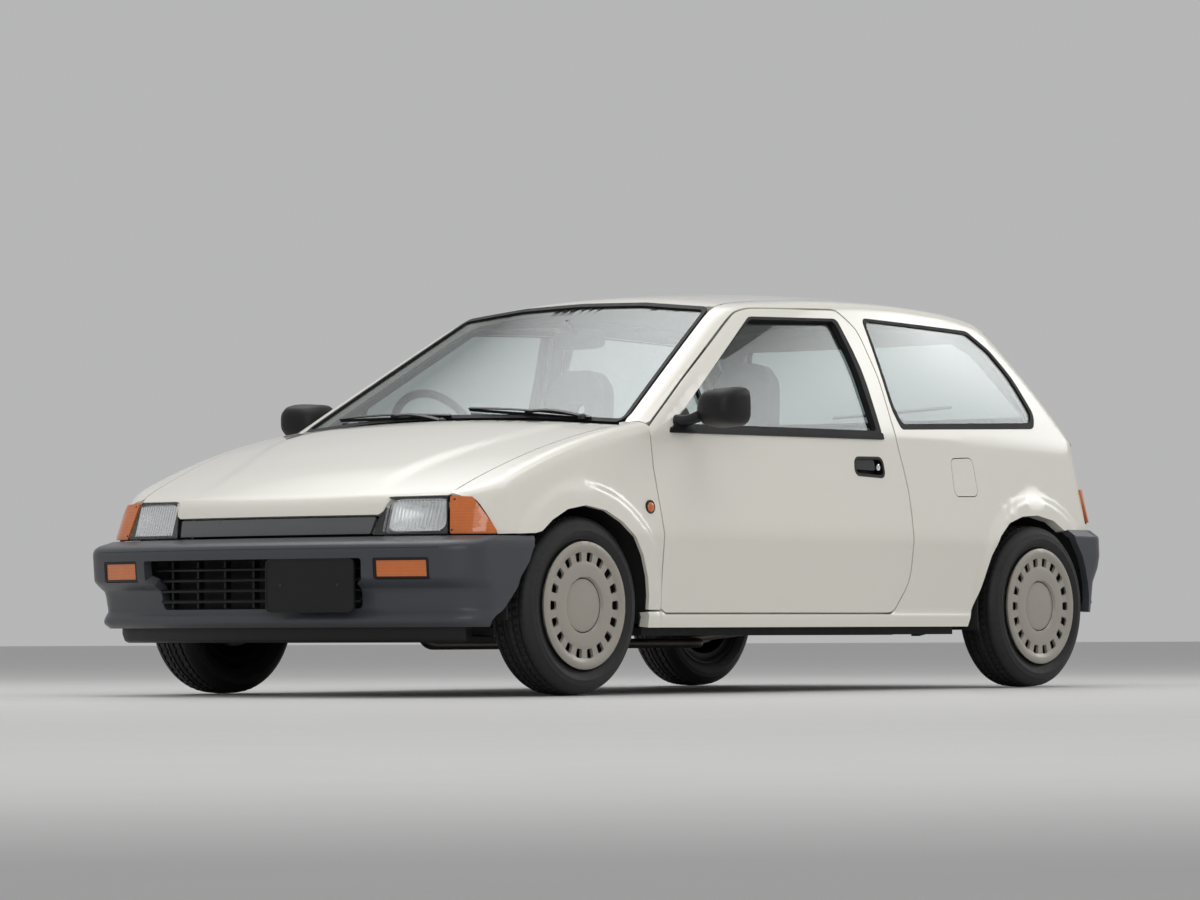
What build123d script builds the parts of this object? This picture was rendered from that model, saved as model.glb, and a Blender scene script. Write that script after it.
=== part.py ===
from build123d import *
from dataclasses import dataclass, replace
from functools import lru_cache
from math import cos, radians, sin
import os

os.makedirs("parts", exist_ok=True)

# ---------------------------------------------------------------------------
# Compact three-door hatchback, right-hand drive, millimetres.
# +X forward, +Y to the car's left, +Z up, ground at Z 0, origin under the middle.
# ---------------------------------------------------------------------------

# Driving dimensions
WHEELBASE = 2400
FRONT_AXLE_X = 1110
REAR_AXLE_X = FRONT_AXLE_X - WHEELBASE
HALF_TRACK = 702
TYRE_RADIUS = 270
TYRE_WIDTH = 165
COVER_RADIUS = 187
SILL_Z = 203
CREASE_Z = 485
BELT_Z = 812
SHELL_TOP_Z = 900
GLASS_TOP_Z = 1330
ROOF_CROWN = 42
ROOF_CROWN_Y = 550
HOOD_CROWN = 28
HOOD_CROWN_Y = 620
ARCH_RADIUS = 298
HOUSE_RADIUS = 335
PANEL_GAP = 6
DOOR_THICKNESS = 90
FRAME_THICKNESS = 42
TAILGATE_THICKNESS = 60
ROOF_THICKNESS = 32
SKIN = 14
HOOD_THICKNESS = 22
GLASS_THICKNESS = 5
LAMP_DEPTH = 55
BUMPER_WALL = 25
FIREWALL_X = 780
FIREWALL_THICKNESS = 20
ROOF_HALF_WIDTH = 500
ROOF_REAR_X = -1180
DRIVER_Y = -345
FAR = 2500


@dataclass(frozen=True)
class Level:
    """One horizontal outline of the body: its nose, tail and the two corners."""

    z: float
    nose: float
    front_x: float
    front_y: float
    mid_y: float
    rear_x: float
    rear_y: float
    tail: float
    corner: float


SILL_LEVEL = Level(SILL_Z, 1600, 1490, 740, 783, -1640, 722, -1700, 100)
CREASE_LEVEL = Level(CREASE_Z, 1662, 1550, 776, 806, -1692, 757, -1755, 100)
BELT_LEVEL = Level(BELT_Z, 1560, 1455, 727, 757, -1642, 707, -1712, 90)
GLASS_FOOT = Level(BELT_Z, 891, 784, 745, 754, -1638, 703, -1709, 45)
GLASS_MID = Level(1030, 527, 430, 650, 682, -1440, 645, -1508, 45)
GLASS_HEAD = Level(GLASS_TOP_Z, 3, -61, 507, 563, -1114, 540, -1163, 45)


def beyond(low, high, z):
    """The outline that a straight line through two outlines gives at height z."""
    share = (z - low.z) / (high.z - low.z)
    names = ("nose", "front_x", "front_y", "mid_y", "rear_x", "rear_y", "tail", "corner")
    values = {n: getattr(low, n) + share * (getattr(high, n) - getattr(low, n)) for n in names}
    return Level(z=z, **values)


def inset(level, side, end):
    """The same outline moved inwards by its wall's thickness."""
    return replace(
        level,
        nose=level.nose - end,
        front_x=level.front_x - end,
        front_y=level.front_y - side,
        mid_y=level.mid_y - side,
        rear_x=level.rear_x + end,
        rear_y=level.rear_y - side,
        tail=level.tail + end,
        corner=max(level.corner - side, 12),
    )


def outline(level):
    """The closed outline of a level as a sketch on its own plane."""
    mid_x = (level.front_x + level.rear_x) / 2
    with BuildSketch(Plane.XY.offset(level.z)) as sketch:
        with BuildLine():
            ThreePointArc(
                (level.front_x, -level.front_y), (level.nose, 0), (level.front_x, level.front_y)
            )
            ThreePointArc(
                (level.front_x, level.front_y), (mid_x, level.mid_y), (level.rear_x, level.rear_y)
            )
            ThreePointArc(
                (level.rear_x, level.rear_y), (level.tail, 0), (level.rear_x, -level.rear_y)
            )
            ThreePointArc(
                (level.rear_x, -level.rear_y), (mid_x, -level.mid_y), (level.front_x, -level.front_y)
            )
        make_face()
        fillet(sketch.vertices(), level.corner)
    return sketch.sketch


def crowned_block(stations, crown, crown_y, drop):
    """All that lies above a crowned surface whose centre line passes through the stations."""
    reach = 900
    fall = crown * (reach / crown_y) ** 2
    with BuildPart() as block:
        for x, z in stations:
            with BuildSketch(Plane.YZ.offset(x)):
                with BuildLine():
                    ThreePointArc((-reach, z - fall - drop), (0, z - drop), (reach, z - fall - drop))
                    Polyline(
                        (reach, z - fall - drop), (reach, FAR), (-reach, FAR), (-reach, z - fall - drop)
                    )
                make_face()
        loft()
    return block.part


HOOD_LINE = [(1760, 512), (1562, 624), (1298, 735), (928, 840), (740, 872)]
ROOF_LINE = [
    (330, 1212), (100, 1262), (-200, 1290), (-500, 1303), (-800, 1301), (-1100, 1281), (-1350, 1238),
]


@lru_cache
def lower_form(side, end, drop):
    """The body below the windows: nose under the hood surface, cabin under the belt."""
    top = beyond(CREASE_LEVEL, BELT_LEVEL, SHELL_TOP_Z)
    with BuildPart() as form:
        for level in (SILL_LEVEL, CREASE_LEVEL, top):
            add(outline(inset(level, side, end)))
        loft(ruled=True)
        add(crowned_block(HOOD_LINE, HOOD_CROWN, HOOD_CROWN_Y, drop), mode=Mode.SUBTRACT)
        with BuildSketch(Plane.XY.offset(BELT_Z)):
            with Locations((740 - FAR / 2, 0)):
                Rectangle(FAR, FAR)
        extrude(amount=FAR, mode=Mode.SUBTRACT)
    return form.part


@lru_cache
def upper_form(side, end, drop):
    """The greenhouse: glass and pillars up to the crowned roof."""
    with BuildPart() as form:
        for level in (GLASS_FOOT, GLASS_MID, GLASS_HEAD):
            add(outline(inset(level, side, end)))
        loft()
        add(crowned_block(ROOF_LINE, ROOF_CROWN, ROOF_CROWN_Y, drop), mode=Mode.SUBTRACT)
    return form.part



def side_cut(points, near=0, far=FAR / 2):
    """A block with a side-view outline (X, Z), reaching across the left side of the car."""
    with BuildPart() as block:
        with BuildSketch(Plane.XZ.offset(-near)):
            with BuildLine():
                Polyline(*points, close=True)
            make_face()
        extrude(amount=near - far)
    return block.part


def rounded_side_cut(points, radius, grow=0, near=300):
    """The same with rounded corners, grown all round by a gap."""
    with BuildPart() as block:
        with BuildSketch(Plane.XZ.offset(-near)) as sketch:
            with BuildLine():
                Polyline(*points, close=True)
            make_face()
            fillet(sketch.vertices(), radius)
            if grow:
                offset(amount=grow)
        extrude(amount=near - FAR / 2)
    return block.part


def front_cut(points, start, end, radius=0):
    """A block with a front-view outline (Y, Z), reaching from one X to another."""
    with BuildPart() as block:
        with BuildSketch(Plane.YZ.offset(start)) as sketch:
            with BuildLine():
                Polyline(*points, close=True)
            make_face()
            if radius:
                fillet(sketch.vertices(), radius)
        extrude(amount=end - start)
    return block.part


def plan_cut(points, low, high):
    """A block with a plan outline (X, Y), reaching from one height to another."""
    with BuildPart() as block:
        with BuildSketch(Plane.XY.offset(low)):
            with BuildLine():
                Polyline(*points, close=True)
            make_face()
        extrude(amount=high - low)
    return block.part


def box_between(low, high):
    """A plain block between two corners."""
    with BuildPart() as block:
        with BuildSketch(Plane.XY.offset(low[2])):
            with Locations(((low[0] + high[0]) / 2, (low[1] + high[1]) / 2)):
                Rectangle(high[0] - low[0], high[1] - low[1])
        extrude(amount=high[2] - low[2])
    return block.part


def drum(x, radius, near, far):
    """A disc about a wheel's axis, from one Y to another."""
    with BuildPart() as block:
        with BuildSketch(Plane.XZ.offset(-near)):
            with Locations((x, TYRE_RADIUS)):
                Circle(radius)
        extrude(amount=near - far)
    return block.part


def both_sides(part):
    """A left-hand solid with its mirror image."""
    return part + mirror(part, about=Plane.XZ)


# ---------------------------------------------------------------------------
# Outlines of the panels (side view X, Z unless said otherwise)
# ---------------------------------------------------------------------------

DOOR_OUTLINE = [
    (742, 262), (742, CREASE_Z), (757, 690), (752, 812), (500, 967), (95, 1206), (30, 1219),
    (-395, 1227), (-470, 1168), (-506, 1010), (-512, 880), (-520, 790), (-556, 640), (-548, CREASE_Z),
    (-540, 350), (-455, 249), (715, 249),
]
DOOR_WINDOW = [(668, 803), (48, 1190), (-385, 1200), (-432, 1040), (-447, 815)]
QUARTER_WINDOW = [
    (-519, 1208), (-1120, 1190), (-1225, 1130), (-1320, 1040), (-1395, 915), (-1372, 866), (-566, 842),
    (-536, 900),
]
TAILGATE_EDGE = [
    (ROOF_REAR_X, 1400), (ROOF_REAR_X, 1214), (-1314, 1110), (-1440, 1000), (-1532, 900), (-1608, 785),
    (-1634, 672),
]
ARCH_FRONT = [
    (FRONT_AXLE_X - ARCH_RADIUS, TYRE_RADIUS), (FRONT_AXLE_X + ARCH_RADIUS, TYRE_RADIUS),
    (FRONT_AXLE_X + 380, 0), (FRONT_AXLE_X - ARCH_RADIUS, 0),
]
ARCH_REAR = [
    (REAR_AXLE_X + 285, 358), (REAR_AXLE_X + 404, SILL_Z), (REAR_AXLE_X + 404, 0),
    (REAR_AXLE_X - ARCH_RADIUS, 0), (REAR_AXLE_X - ARCH_RADIUS, TYRE_RADIUS), (REAR_AXLE_X, TYRE_RADIUS),
]
LAMP_TOP_Z = 592
LAMP_BOTTOM_Z = 478
LAMP_INNER_Y = 402
LAMP_INNER_TOP_Y = 436
LAMP_SPLIT_Y = 652
TAIL_LAMP_TOP_Z = 668
TAIL_LAMP_BOTTOM_Z = 552
TAIL_LAMP_INNER_Y = 462
TAIL_LAMP_X = -1616

# ---------------------------------------------------------------------------
# The whole body's outside and its hollows
# ---------------------------------------------------------------------------

outer = lower_form(0, 0, 0) + upper_form(0, 0, 0)
cabin_lower = lower_form(DOOR_THICKNESS, TAILGATE_THICKNESS, 0)
cabin_lower -= box_between((FIREWALL_X, -FAR, 0), (FAR, FAR, FAR))
cabin_upper = upper_form(FRAME_THICKNESS, 48, ROOF_THICKNESS)
cabin = cabin_lower + cabin_upper
wall = outer - cabin
skin = outer - lower_form(SKIN, SKIN, SKIN)
WINDSHIELD = [
    (-650, 838), (-330, 856), (0, 862), (330, 856), (650, 838), (468, 1200), (0, 1232), (-468, 1200),
]
windshield_cut = front_cut(WINDSHIELD, 60, 1200)
rear_window_cut = front_cut(
    [(-575, 905), (575, 905), (490, 1150), (440, 1192), (-440, 1192), (-490, 1150)], -1900, -1150, 25
)
door_cut = rounded_side_cut(DOOR_OUTLINE, 12, 0, 505)
door_gap_cut = rounded_side_cut(DOOR_OUTLINE, 12, PANEL_GAP, 500)
door_window_cut = rounded_side_cut(DOOR_WINDOW, 18)
quarter_window_cut = rounded_side_cut(QUARTER_WINDOW, 20)
front_arch = drum(FRONT_AXLE_X, ARCH_RADIUS, 0, 900) + side_cut(ARCH_FRONT)
rear_arch = drum(REAR_AXLE_X, ARCH_RADIUS, 605, 900) + side_cut(ARCH_REAR, 605)
rear_house = drum(REAR_AXLE_X, ARCH_RADIUS + 12, 593, 730) - box_between((-1900, 0, 0), (-800, 900, 345))


def tailgate_zone(grow):
    """The space of the tailgate between the roof, the quarter panels and the tail lamps, grown by a gap."""
    edge = [(x + grow, z) for x, z in TAILGATE_EDGE]
    foot = TAIL_LAMP_BOTTOM_Z - grow
    corner_y = TAIL_LAMP_INNER_Y - PANEL_GAP + grow
    zone = side_cut(edge + [(TAILGATE_EDGE[-1][0] + grow, foot), (-1900, foot), (-1900, 1400)], -900, 900)
    return zone - both_sides(box_between((-1950, corner_y, 400), (-1500, 950, 674 - grow)))


tailgate_cut = tailgate_zone(0)
tailgate_gap_cut = tailgate_zone(PANEL_GAP)
roof_cut = box_between(
    (ROOF_REAR_X + PANEL_GAP, -ROOF_HALF_WIDTH, 1150), (400, ROOF_HALF_WIDTH, 1400)
)

# ---------------------------------------------------------------------------
# Body shell, fixed
# ---------------------------------------------------------------------------

FUEL_DOOR = [(-822, 630), (-822, 752), (-948, 757), (-958, 632)]

for side in ("left", "right"):
    with BuildPart() as body_side:
        add(wall)
        add(rear_house & outer)
        add(box_between((-FAR, -FAR, 0), (FAR, 0, FAR)), mode=Mode.SUBTRACT)
        add(box_between((FIREWALL_X, -1, 0), (FAR, FAR, FAR)), mode=Mode.SUBTRACT)
        add(skin & box_between((748, 0, 255), (FAR, FAR, 900)), mode=Mode.SUBTRACT)
        add(roof_cut, mode=Mode.SUBTRACT)
        add(tailgate_gap_cut, mode=Mode.SUBTRACT)
        add(box_between((-FAR, 0, 0), (-1600, 600, 700)), mode=Mode.SUBTRACT)
        add(box_between((-FAR, 0, TAIL_LAMP_BOTTOM_Z), (TAIL_LAMP_X, FAR, 668)), mode=Mode.SUBTRACT)
        add(door_gap_cut, mode=Mode.SUBTRACT)
        add(drum(FRONT_AXLE_X, HOUSE_RADIUS + 7, 440, 900), mode=Mode.SUBTRACT)
        add(windshield_cut, mode=Mode.SUBTRACT)
        add(quarter_window_cut, mode=Mode.SUBTRACT)
        add(rear_arch, mode=Mode.SUBTRACT)
        if side == "right":
            mirror(about=Plane.XZ, mode=Mode.REPLACE)
        else:
            add(rounded_side_cut(FUEL_DOOR, 12, PANEL_GAP, 735), mode=Mode.SUBTRACT)
    body_side.part.label = f"body_side_{side}"
    export_step(body_side.part, f"parts/body_side_{side}.step")

with BuildPart() as roof_panel:
    add(wall & roof_cut)
    add(windshield_cut, mode=Mode.SUBTRACT)
    add(box_between((60, -FAR, 0), (FAR, FAR, 1180)), mode=Mode.SUBTRACT)
roof_panel.part.label = "roof_panel"
export_step(roof_panel.part, "parts/roof_panel.step")

with BuildPart() as rear_panel:
    add(wall & box_between((-1900, -600, 290), (-1600, 600, TAIL_LAMP_BOTTOM_Z - PANEL_GAP)))
rear_panel.part.label = "rear_panel"
export_step(rear_panel.part, "parts/rear_panel.step")

# The floor: a ribbed tray under the sills, a raised load floor between the rear wheels
FLOOR_Z = 178
LOAD_FLOOR_Z = 352
cabin_fit = lower_form(DOOR_THICKNESS + 0.5, TAILGATE_THICKNESS + 0.5, 0)
with BuildPart() as floor_pan:
    with BuildSketch(Plane.YZ.offset(FIREWALL_X)):
        with BuildLine():
            Polyline(
                (-735, SILL_Z), (-735, FLOOR_Z), (-150, FLOOR_Z), (-110, FLOOR_Z + 70), (110, FLOOR_Z + 70),
                (150, FLOOR_Z), (735, FLOOR_Z), (735, SILL_Z), (165, SILL_Z), (125, SILL_Z + 70),
                (-125, SILL_Z + 70), (-165, SILL_Z), close=True,
            )
        make_face()
    extrude(amount=-(FIREWALL_X + 850))
    add(cabin_fit & box_between((-850, -FAR, SILL_Z), (-830, FAR, LOAD_FLOOR_Z)))
    add(cabin_fit & box_between((-1690, -590, LOAD_FLOOR_Z), (-830, 590, LOAD_FLOOR_Z + 20)))
floor_pan.part.label = "floor_pan"
export_step(floor_pan.part, "parts/floor_pan.step")

# The bulkhead behind the engine, with the cowl trough in front of the windshield
nose_fit = lower_form(SKIN + 0.5, SKIN, SKIN)
cowl_fit = lower_form(SKIN + 40, SKIN, 12)
cowl_floor = lower_form(SKIN + 40, SKIN, 20)
COWL_PLAN = [(FIREWALL_X, -640), (832, -640), (870, 0), (832, 640), (FIREWALL_X, 640)]
with BuildPart() as firewall:
    add(nose_fit & box_between((FIREWALL_X, -FAR, SILL_Z), (FIREWALL_X + FIREWALL_THICKNESS, FAR, 790)))
    add(both_sides(drum(FRONT_AXLE_X, HOUSE_RADIUS + 7, 440, 900)), mode=Mode.SUBTRACT)
    add((cowl_fit - cowl_floor) & plan_cut(COWL_PLAN, 700, 900))
    add(cowl_fit & box_between((FIREWALL_X, -640, 780), (FIREWALL_X + 12, 640, 900)))
firewall.part.label = "firewall"
export_step(firewall.part, "parts/firewall.step")

# ---------------------------------------------------------------------------
# Nose: fenders, hood, lamps and bumper
# ---------------------------------------------------------------------------

LAMP_FRONT = [
    (LAMP_INNER_Y, LAMP_BOTTOM_Z), (900, LAMP_BOTTOM_Z), (900, LAMP_TOP_Z), (LAMP_INNER_TOP_Y, LAMP_TOP_Z),
]
LAMP_SIDE = [
    (1494, 470), (1494, LAMP_BOTTOM_Z), (1530, LAMP_TOP_Z), (1530, 600), (1800, 600), (1800, 470),
]
lamp_zone = front_cut(LAMP_FRONT, 1300, 1800) & side_cut(LAMP_SIDE)
lamp_depth = outer - lower_form(LAMP_DEPTH, LAMP_DEPTH, LAMP_DEPTH)
HOOD_PLAN = [
    (1800, -628), (1554, -631), (842, -697), (866, -350), (892, 0), (866, 350), (842, 697), (1554, 631),
    (1800, 628),
]
hood_outline = plan_cut(HOOD_PLAN, 0, 1000)
hood_gap_outline = plan_cut(
    [(1800, -633), (1554, -636), (700, -715), (700, 715), (1554, 636), (1800, 633)], 0, 1000
)
hood_front = front_cut(
    [(-415, 541), (415, 541), (432, 598), (700, 598), (700, 1000), (-700, 1000), (-700, 598), (-432, 598)],
    600, 1800,
)

with BuildPart() as hood:
    add(outer - lower_form(HOOD_THICKNESS, HOOD_THICKNESS, HOOD_THICKNESS))
    add(hood_outline & hood_front, mode=Mode.INTERSECT)
hood.part.label = "hood"
export_step(hood.part, "parts/hood.step")

fender_zone = box_between((752, 0, 257), (1800, 900, 900)) - hood_gap_outline
fender_zone -= box_between((700, 0, 0), (852, 645, 900))
fender_zone -= front_cut([(0, 0), (900, 0), (900, 596), (0, 596)], 1490, 1800)
fender_zone -= side_cut([(1300, 0), (1300, 480), (1600, 480), (1600, 0)])
fender_zone -= front_arch
fender_zone -= door_gap_cut
fender_front = side_cut([(1488, 480), (1488, 500), (1524, 597), (1480, 597), (1400, 480)])
fender_zone = fender_zone + (fender_front & box_between((1400, 600, 0), (1800, 900, 900)))
for side in ("left", "right"):
    with BuildPart() as front_fender:
        add(skin & fender_zone)
        if side == "right":
            mirror(about=Plane.XZ, mode=Mode.REPLACE)
    front_fender.part.label = f"front_fender_{side}"
    export_step(front_fender.part, f"parts/front_fender_{side}.step")

with BuildPart() as grille_strip:
    add(lower_form(8, 8, 8) - lower_form(20, 20, 20))
    add(box_between((1500, -396, 481), (1800, 396, 535)), mode=Mode.INTERSECT)
grille_strip.part.label = "grille_strip"
export_step(grille_strip.part, "parts/grille_strip.step")

with BuildPart() as headlights:
    add(both_sides(lamp_depth & lamp_zone & box_between((1300, 0, 0), (1800, LAMP_SPLIT_Y, 900))))
headlights.part.label = "headlights"
export_step(headlights.part, "parts/headlights.step")

# Bumper outlines: lower lip, step under the lamp band, face and top ledge
FRONT_BUMPER_LEVELS = (
    Level(205, 1702, 1572, 772, 800, -1640, 770, -1700, 110),
    Level(335, 1757, 1625, 781, 810, -1640, 770, -1700, 110),
    Level(343, 1773, 1641, 783, 810, -1640, 770, -1700, 110),
    Level(446, 1780, 1648, 784, 810, -1640, 770, -1700, 110),
    Level(476, 1676, 1562, 779, 807, -1640, 770, -1700, 110),
)
REAR_BUMPER_LEVELS = (
    Level(272, 1500, 1400, 770, 800, -1618, 765, -1703, 90),
    Level(352, 1500, 1400, 770, 800, -1622, 768, -1708, 90),
    Level(400, 1500, 1400, 770, 808, -1682, 778, -1770, 90),
    Level(442, 1500, 1400, 770, 810, -1692, 780, -1780, 90),
    Level(505, 1500, 1400, 770, 810, -1690, 779, -1776, 90),
    Level(528, 1500, 1400, 770, 807, -1668, 768, -1752, 90),
)


@lru_cache
def bumper_form(levels, wall_depth):
    """A bumper's outside, moved inwards by a wall's depth."""
    with BuildPart() as form:
        for level in levels:
            add(outline(inset(level, wall_depth, wall_depth)))
        loft(ruled=True)
    return form.part


grille_opening = front_cut([(-444, 250), (444, 250), (444, 412), (-444, 412)], 1500, 1800, 8)
bumper_lamp_opening = both_sides(front_cut([(482, 345), (662, 345), (662, 413), (482, 413)], 1400, 1800, 6))
front_bumper_outer = bumper_form(FRONT_BUMPER_LEVELS, 0)
bumper_hollow = bumper_form(FRONT_BUMPER_LEVELS, BUMPER_WALL) - box_between((-FAR, -FAR, 462), (FAR, FAR, 600))
BUMPER_HEEL = [(1300, 0), (1300, 360), (1438, 300), (1532, 200), (1532, 0)]
with BuildPart() as front_bumper:
    add(front_bumper_outer)
    add(bumper_hollow, mode=Mode.SUBTRACT)
    add(box_between((-FAR, -FAR, 0), (1335, FAR, 900)), mode=Mode.SUBTRACT)
    add(box_between((-FAR, -700, 0), (1530, 700, 900)), mode=Mode.SUBTRACT)
    add(both_sides(drum(FRONT_AXLE_X, HOUSE_RADIUS + 9, 0, 900)), mode=Mode.SUBTRACT)
    add(both_sides(side_cut(BUMPER_HEEL)), mode=Mode.SUBTRACT)
    add(grille_opening, mode=Mode.SUBTRACT)
    add(bumper_lamp_opening, mode=Mode.SUBTRACT)
front_bumper.part.label = "front_bumper"
export_step(front_bumper.part, "parts/front_bumper.step")

rear_bumper_outer = bumper_form(REAR_BUMPER_LEVELS, 0)
with BuildPart() as rear_bumper:
    add(rear_bumper_outer)
    add(outer, mode=Mode.SUBTRACT)
    add(box_between((-1600, -FAR, 0), (FAR, FAR, 900)), mode=Mode.SUBTRACT)
    add(both_sides(drum(REAR_AXLE_X, ARCH_RADIUS + 6, 0, 900)), mode=Mode.SUBTRACT)
rear_bumper.part.label = "rear_bumper"
export_step(rear_bumper.part, "parts/rear_bumper.step")

SLAT_PITCH = 36
with BuildPart() as grille_slats:
    add(bumper_form(FRONT_BUMPER_LEVELS, 20) - bumper_form(FRONT_BUMPER_LEVELS, 40))
    with BuildPart(mode=Mode.PRIVATE) as grid:
        with BuildSketch(Plane.YZ.offset(1500)):
            with GridLocations(1, SLAT_PITCH, 1, 4):
                with Locations((0, 331)):
                    Rectangle(888, 9)
            with Locations((0, 331)):
                with GridLocations(148, 1, 5, 1):
                    Rectangle(7, 162)
        extrude(amount=300)
    add(grid.part, mode=Mode.INTERSECT)
grille_slats.part.label = "grille_slats"
export_step(grille_slats.part, "parts/grille_slats.step")

PLATE_ANGLE = 6
plate_plane = Plane(
    origin=(1757, 260, 331),
    x_dir=(-sin(radians(PLATE_ANGLE)), cos(radians(PLATE_ANGLE)), 0),
    z_dir=(cos(radians(PLATE_ANGLE)), sin(radians(PLATE_ANGLE)), 0),
)
with BuildPart() as front_plate:
    with BuildSketch(plate_plane) as plate_sketch:
        Rectangle(330, 160)
        fillet(plate_sketch.vertices(), 6)
    extrude(amount=-3)
front_plate.part.label = "front_plate"
export_step(front_plate.part, "parts/front_plate.step")

with BuildPart() as turn_lamps:
    add(both_sides(lamp_depth & lamp_zone & box_between((1300, LAMP_SPLIT_Y + 4, 0), (1800, 900, 900))))
    add((bumper_form(FRONT_BUMPER_LEVELS, 8) - bumper_form(FRONT_BUMPER_LEVELS, 24)) & bumper_lamp_opening)
turn_lamps.part.label = "turn_lamps"
export_step(turn_lamps.part, "parts/turn_lamps.step")

tail_lamp_zone = box_between(
    (-1900, TAIL_LAMP_INNER_Y, TAIL_LAMP_BOTTOM_Z), (TAIL_LAMP_X, 900, TAIL_LAMP_TOP_Z)
)
with BuildPart() as tail_lamps:
    add(both_sides((outer & tail_lamp_zone) - lower_form(50, 50, 50)))
tail_lamps.part.label = "tail_lamps"
export_step(tail_lamps.part, "parts/tail_lamps.step")

TOW_EYE_Y = 330
TOW_EYE_RADIUS = 20
TOW_EYE_THICKNESS = 10
with BuildPart() as front_structure:
    apron = side_cut([(802, 250), (1500, 250), (1500, 585), (1110, 735), (802, 775)], 445, 455)
    house = drum(FRONT_AXLE_X, HOUSE_RADIUS + 6, 455, 765) - drum(FRONT_AXLE_X, HOUSE_RADIUS, 450, 800)
    house &= box_between((802, 0, TYRE_RADIUS), (1800, 900, 900))
    add(both_sides(apron + (house & lower_form(SKIN + 1, SKIN + 1, SKIN + 1))))
    add(box_between((1500, -600, 240), (1512, 600, 530)))
    with BuildSketch(Plane.XZ.offset(TOW_EYE_Y)):
        with Locations((1530, 205)):
            RectangleRounded(90, 90, 40)
            Circle(TOW_EYE_RADIUS, mode=Mode.SUBTRACT)
    extrude(amount=TOW_EYE_THICKNESS)
    add(box_between((1500, -TOW_EYE_Y - TOW_EYE_THICKNESS, 236), (1512, -TOW_EYE_Y, 262)))
front_structure.part.label = "front_structure"
export_step(front_structure.part, "parts/front_structure.step")

with BuildPart() as engine_block:
    add(box_between((1000, -380, 215), (1430, 380, 600)))
engine_block.part.label = "engine_block"
export_step(engine_block.part, "parts/engine_block.step")

# ---------------------------------------------------------------------------
# Glass
# ---------------------------------------------------------------------------

flush_glass = upper_form(4, 4, 4) - upper_form(4 + GLASS_THICKNESS, 4 + GLASS_THICKNESS, 4)
door_pane = upper_form(16, 16, 4) - upper_form(16 + GLASS_THICKNESS, 16 + GLASS_THICKNESS, 4)
with BuildPart() as fixed_glass:
    add(flush_glass & windshield_cut)
    add(both_sides(flush_glass & quarter_window_cut))
fixed_glass.part.label = "fixed_glass"
export_step(fixed_glass.part, "parts/fixed_glass.step")

# ---------------------------------------------------------------------------
# Doors
# ---------------------------------------------------------------------------

with BuildPart() as mirror_shell:
    with BuildSketch(Plane.XZ.offset(-790)) as mirror_root:
        with Locations((505, 880)):
            RectangleRounded(70, 96, 24)
    with BuildSketch(Plane.XZ.offset(-940)) as mirror_tip:
        with Locations((497, 880)):
            RectangleRounded(52, 84, 24)
    loft()
    with BuildSketch(Plane.XZ.offset(-700)):
        with Locations((530, 862)):
            RectangleRounded(60, 40, 12)
    extrude(amount=-100)
    add(upper_form(0, 0, 0), mode=Mode.SUBTRACT)
for side in ("left", "right"):
    with BuildPart() as door:
        add(wall & door_cut)
        add(door_window_cut, mode=Mode.SUBTRACT)
        if side == "right":
            mirror(about=Plane.XZ, mode=Mode.REPLACE)
    door.part.label = f"door_{side}"
    export_step(door.part, f"parts/door_{side}.step")

    with BuildPart() as door_glass:
        add(door_pane & door_window_cut)
        if side == "right":
            mirror(about=Plane.XZ, mode=Mode.REPLACE)
    door_glass.part.label = f"door_glass_{side}"
    export_step(door_glass.part, f"parts/door_glass_{side}.step")

    with BuildPart() as door_mirror:
        add(mirror_shell.part)
        if side == "right":
            mirror(about=Plane.XZ, mode=Mode.REPLACE)
    door_mirror.part.label = f"door_mirror_{side}"
    export_step(door_mirror.part, f"parts/door_mirror_{side}.step")

PLATE_HOLE_SPACING = 210
PLATE_HOLE_RADIUS = 3.5
PLATE_HOLE_Z = 640
with BuildPart() as tailgate:
    add(wall & tailgate_cut)
    add(rear_window_cut, mode=Mode.SUBTRACT)
    with BuildSketch(Plane.YZ.offset(-1900)):
        with GridLocations(PLATE_HOLE_SPACING, 1, 2, 1):
            with Locations((0, PLATE_HOLE_Z)):
                Circle(PLATE_HOLE_RADIUS)
    extrude(amount=300, mode=Mode.SUBTRACT)
tailgate.part.label = "tailgate"
export_step(tailgate.part, "parts/tailgate.step")

with BuildPart() as rear_window:
    add(flush_glass & rear_window_cut)
rear_window.part.label = "rear_window"
export_step(rear_window.part, "parts/rear_window.step")

with BuildPart() as fuel_door:
    add(outer - lower_form(4, 4, 4))
    add(rounded_side_cut(FUEL_DOOR, 12, 0, 700), mode=Mode.INTERSECT)
fuel_door.part.label = "fuel_door"
export_step(fuel_door.part, "parts/fuel_door.step")

# ---------------------------------------------------------------------------
# Wheels: tyres, and rims with their vented covers
# ---------------------------------------------------------------------------

RIM_RADIUS = 165
COVER_FACE = 72
VENT_COUNT = 18
VENT_INNER = 130
VENT_WIDTH = 20
CAP_RADIUS = 82


def wheel_plane(x, hand, height=TYRE_RADIUS):
    """A section plane through a wheel's axis: local X outwards along the axle, local Y up."""
    return Plane(origin=(x, hand * HALF_TRACK, height), x_dir=(0, hand, 0), z_dir=(hand, 0, 0))


def face_plane(x, hand, out):
    """A plane square to the axle, facing outwards."""
    return Plane(
        origin=(x, hand * (HALF_TRACK + out), TYRE_RADIUS), x_dir=(1, 0, 0), z_dir=(0, hand, 0)
    )


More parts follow.
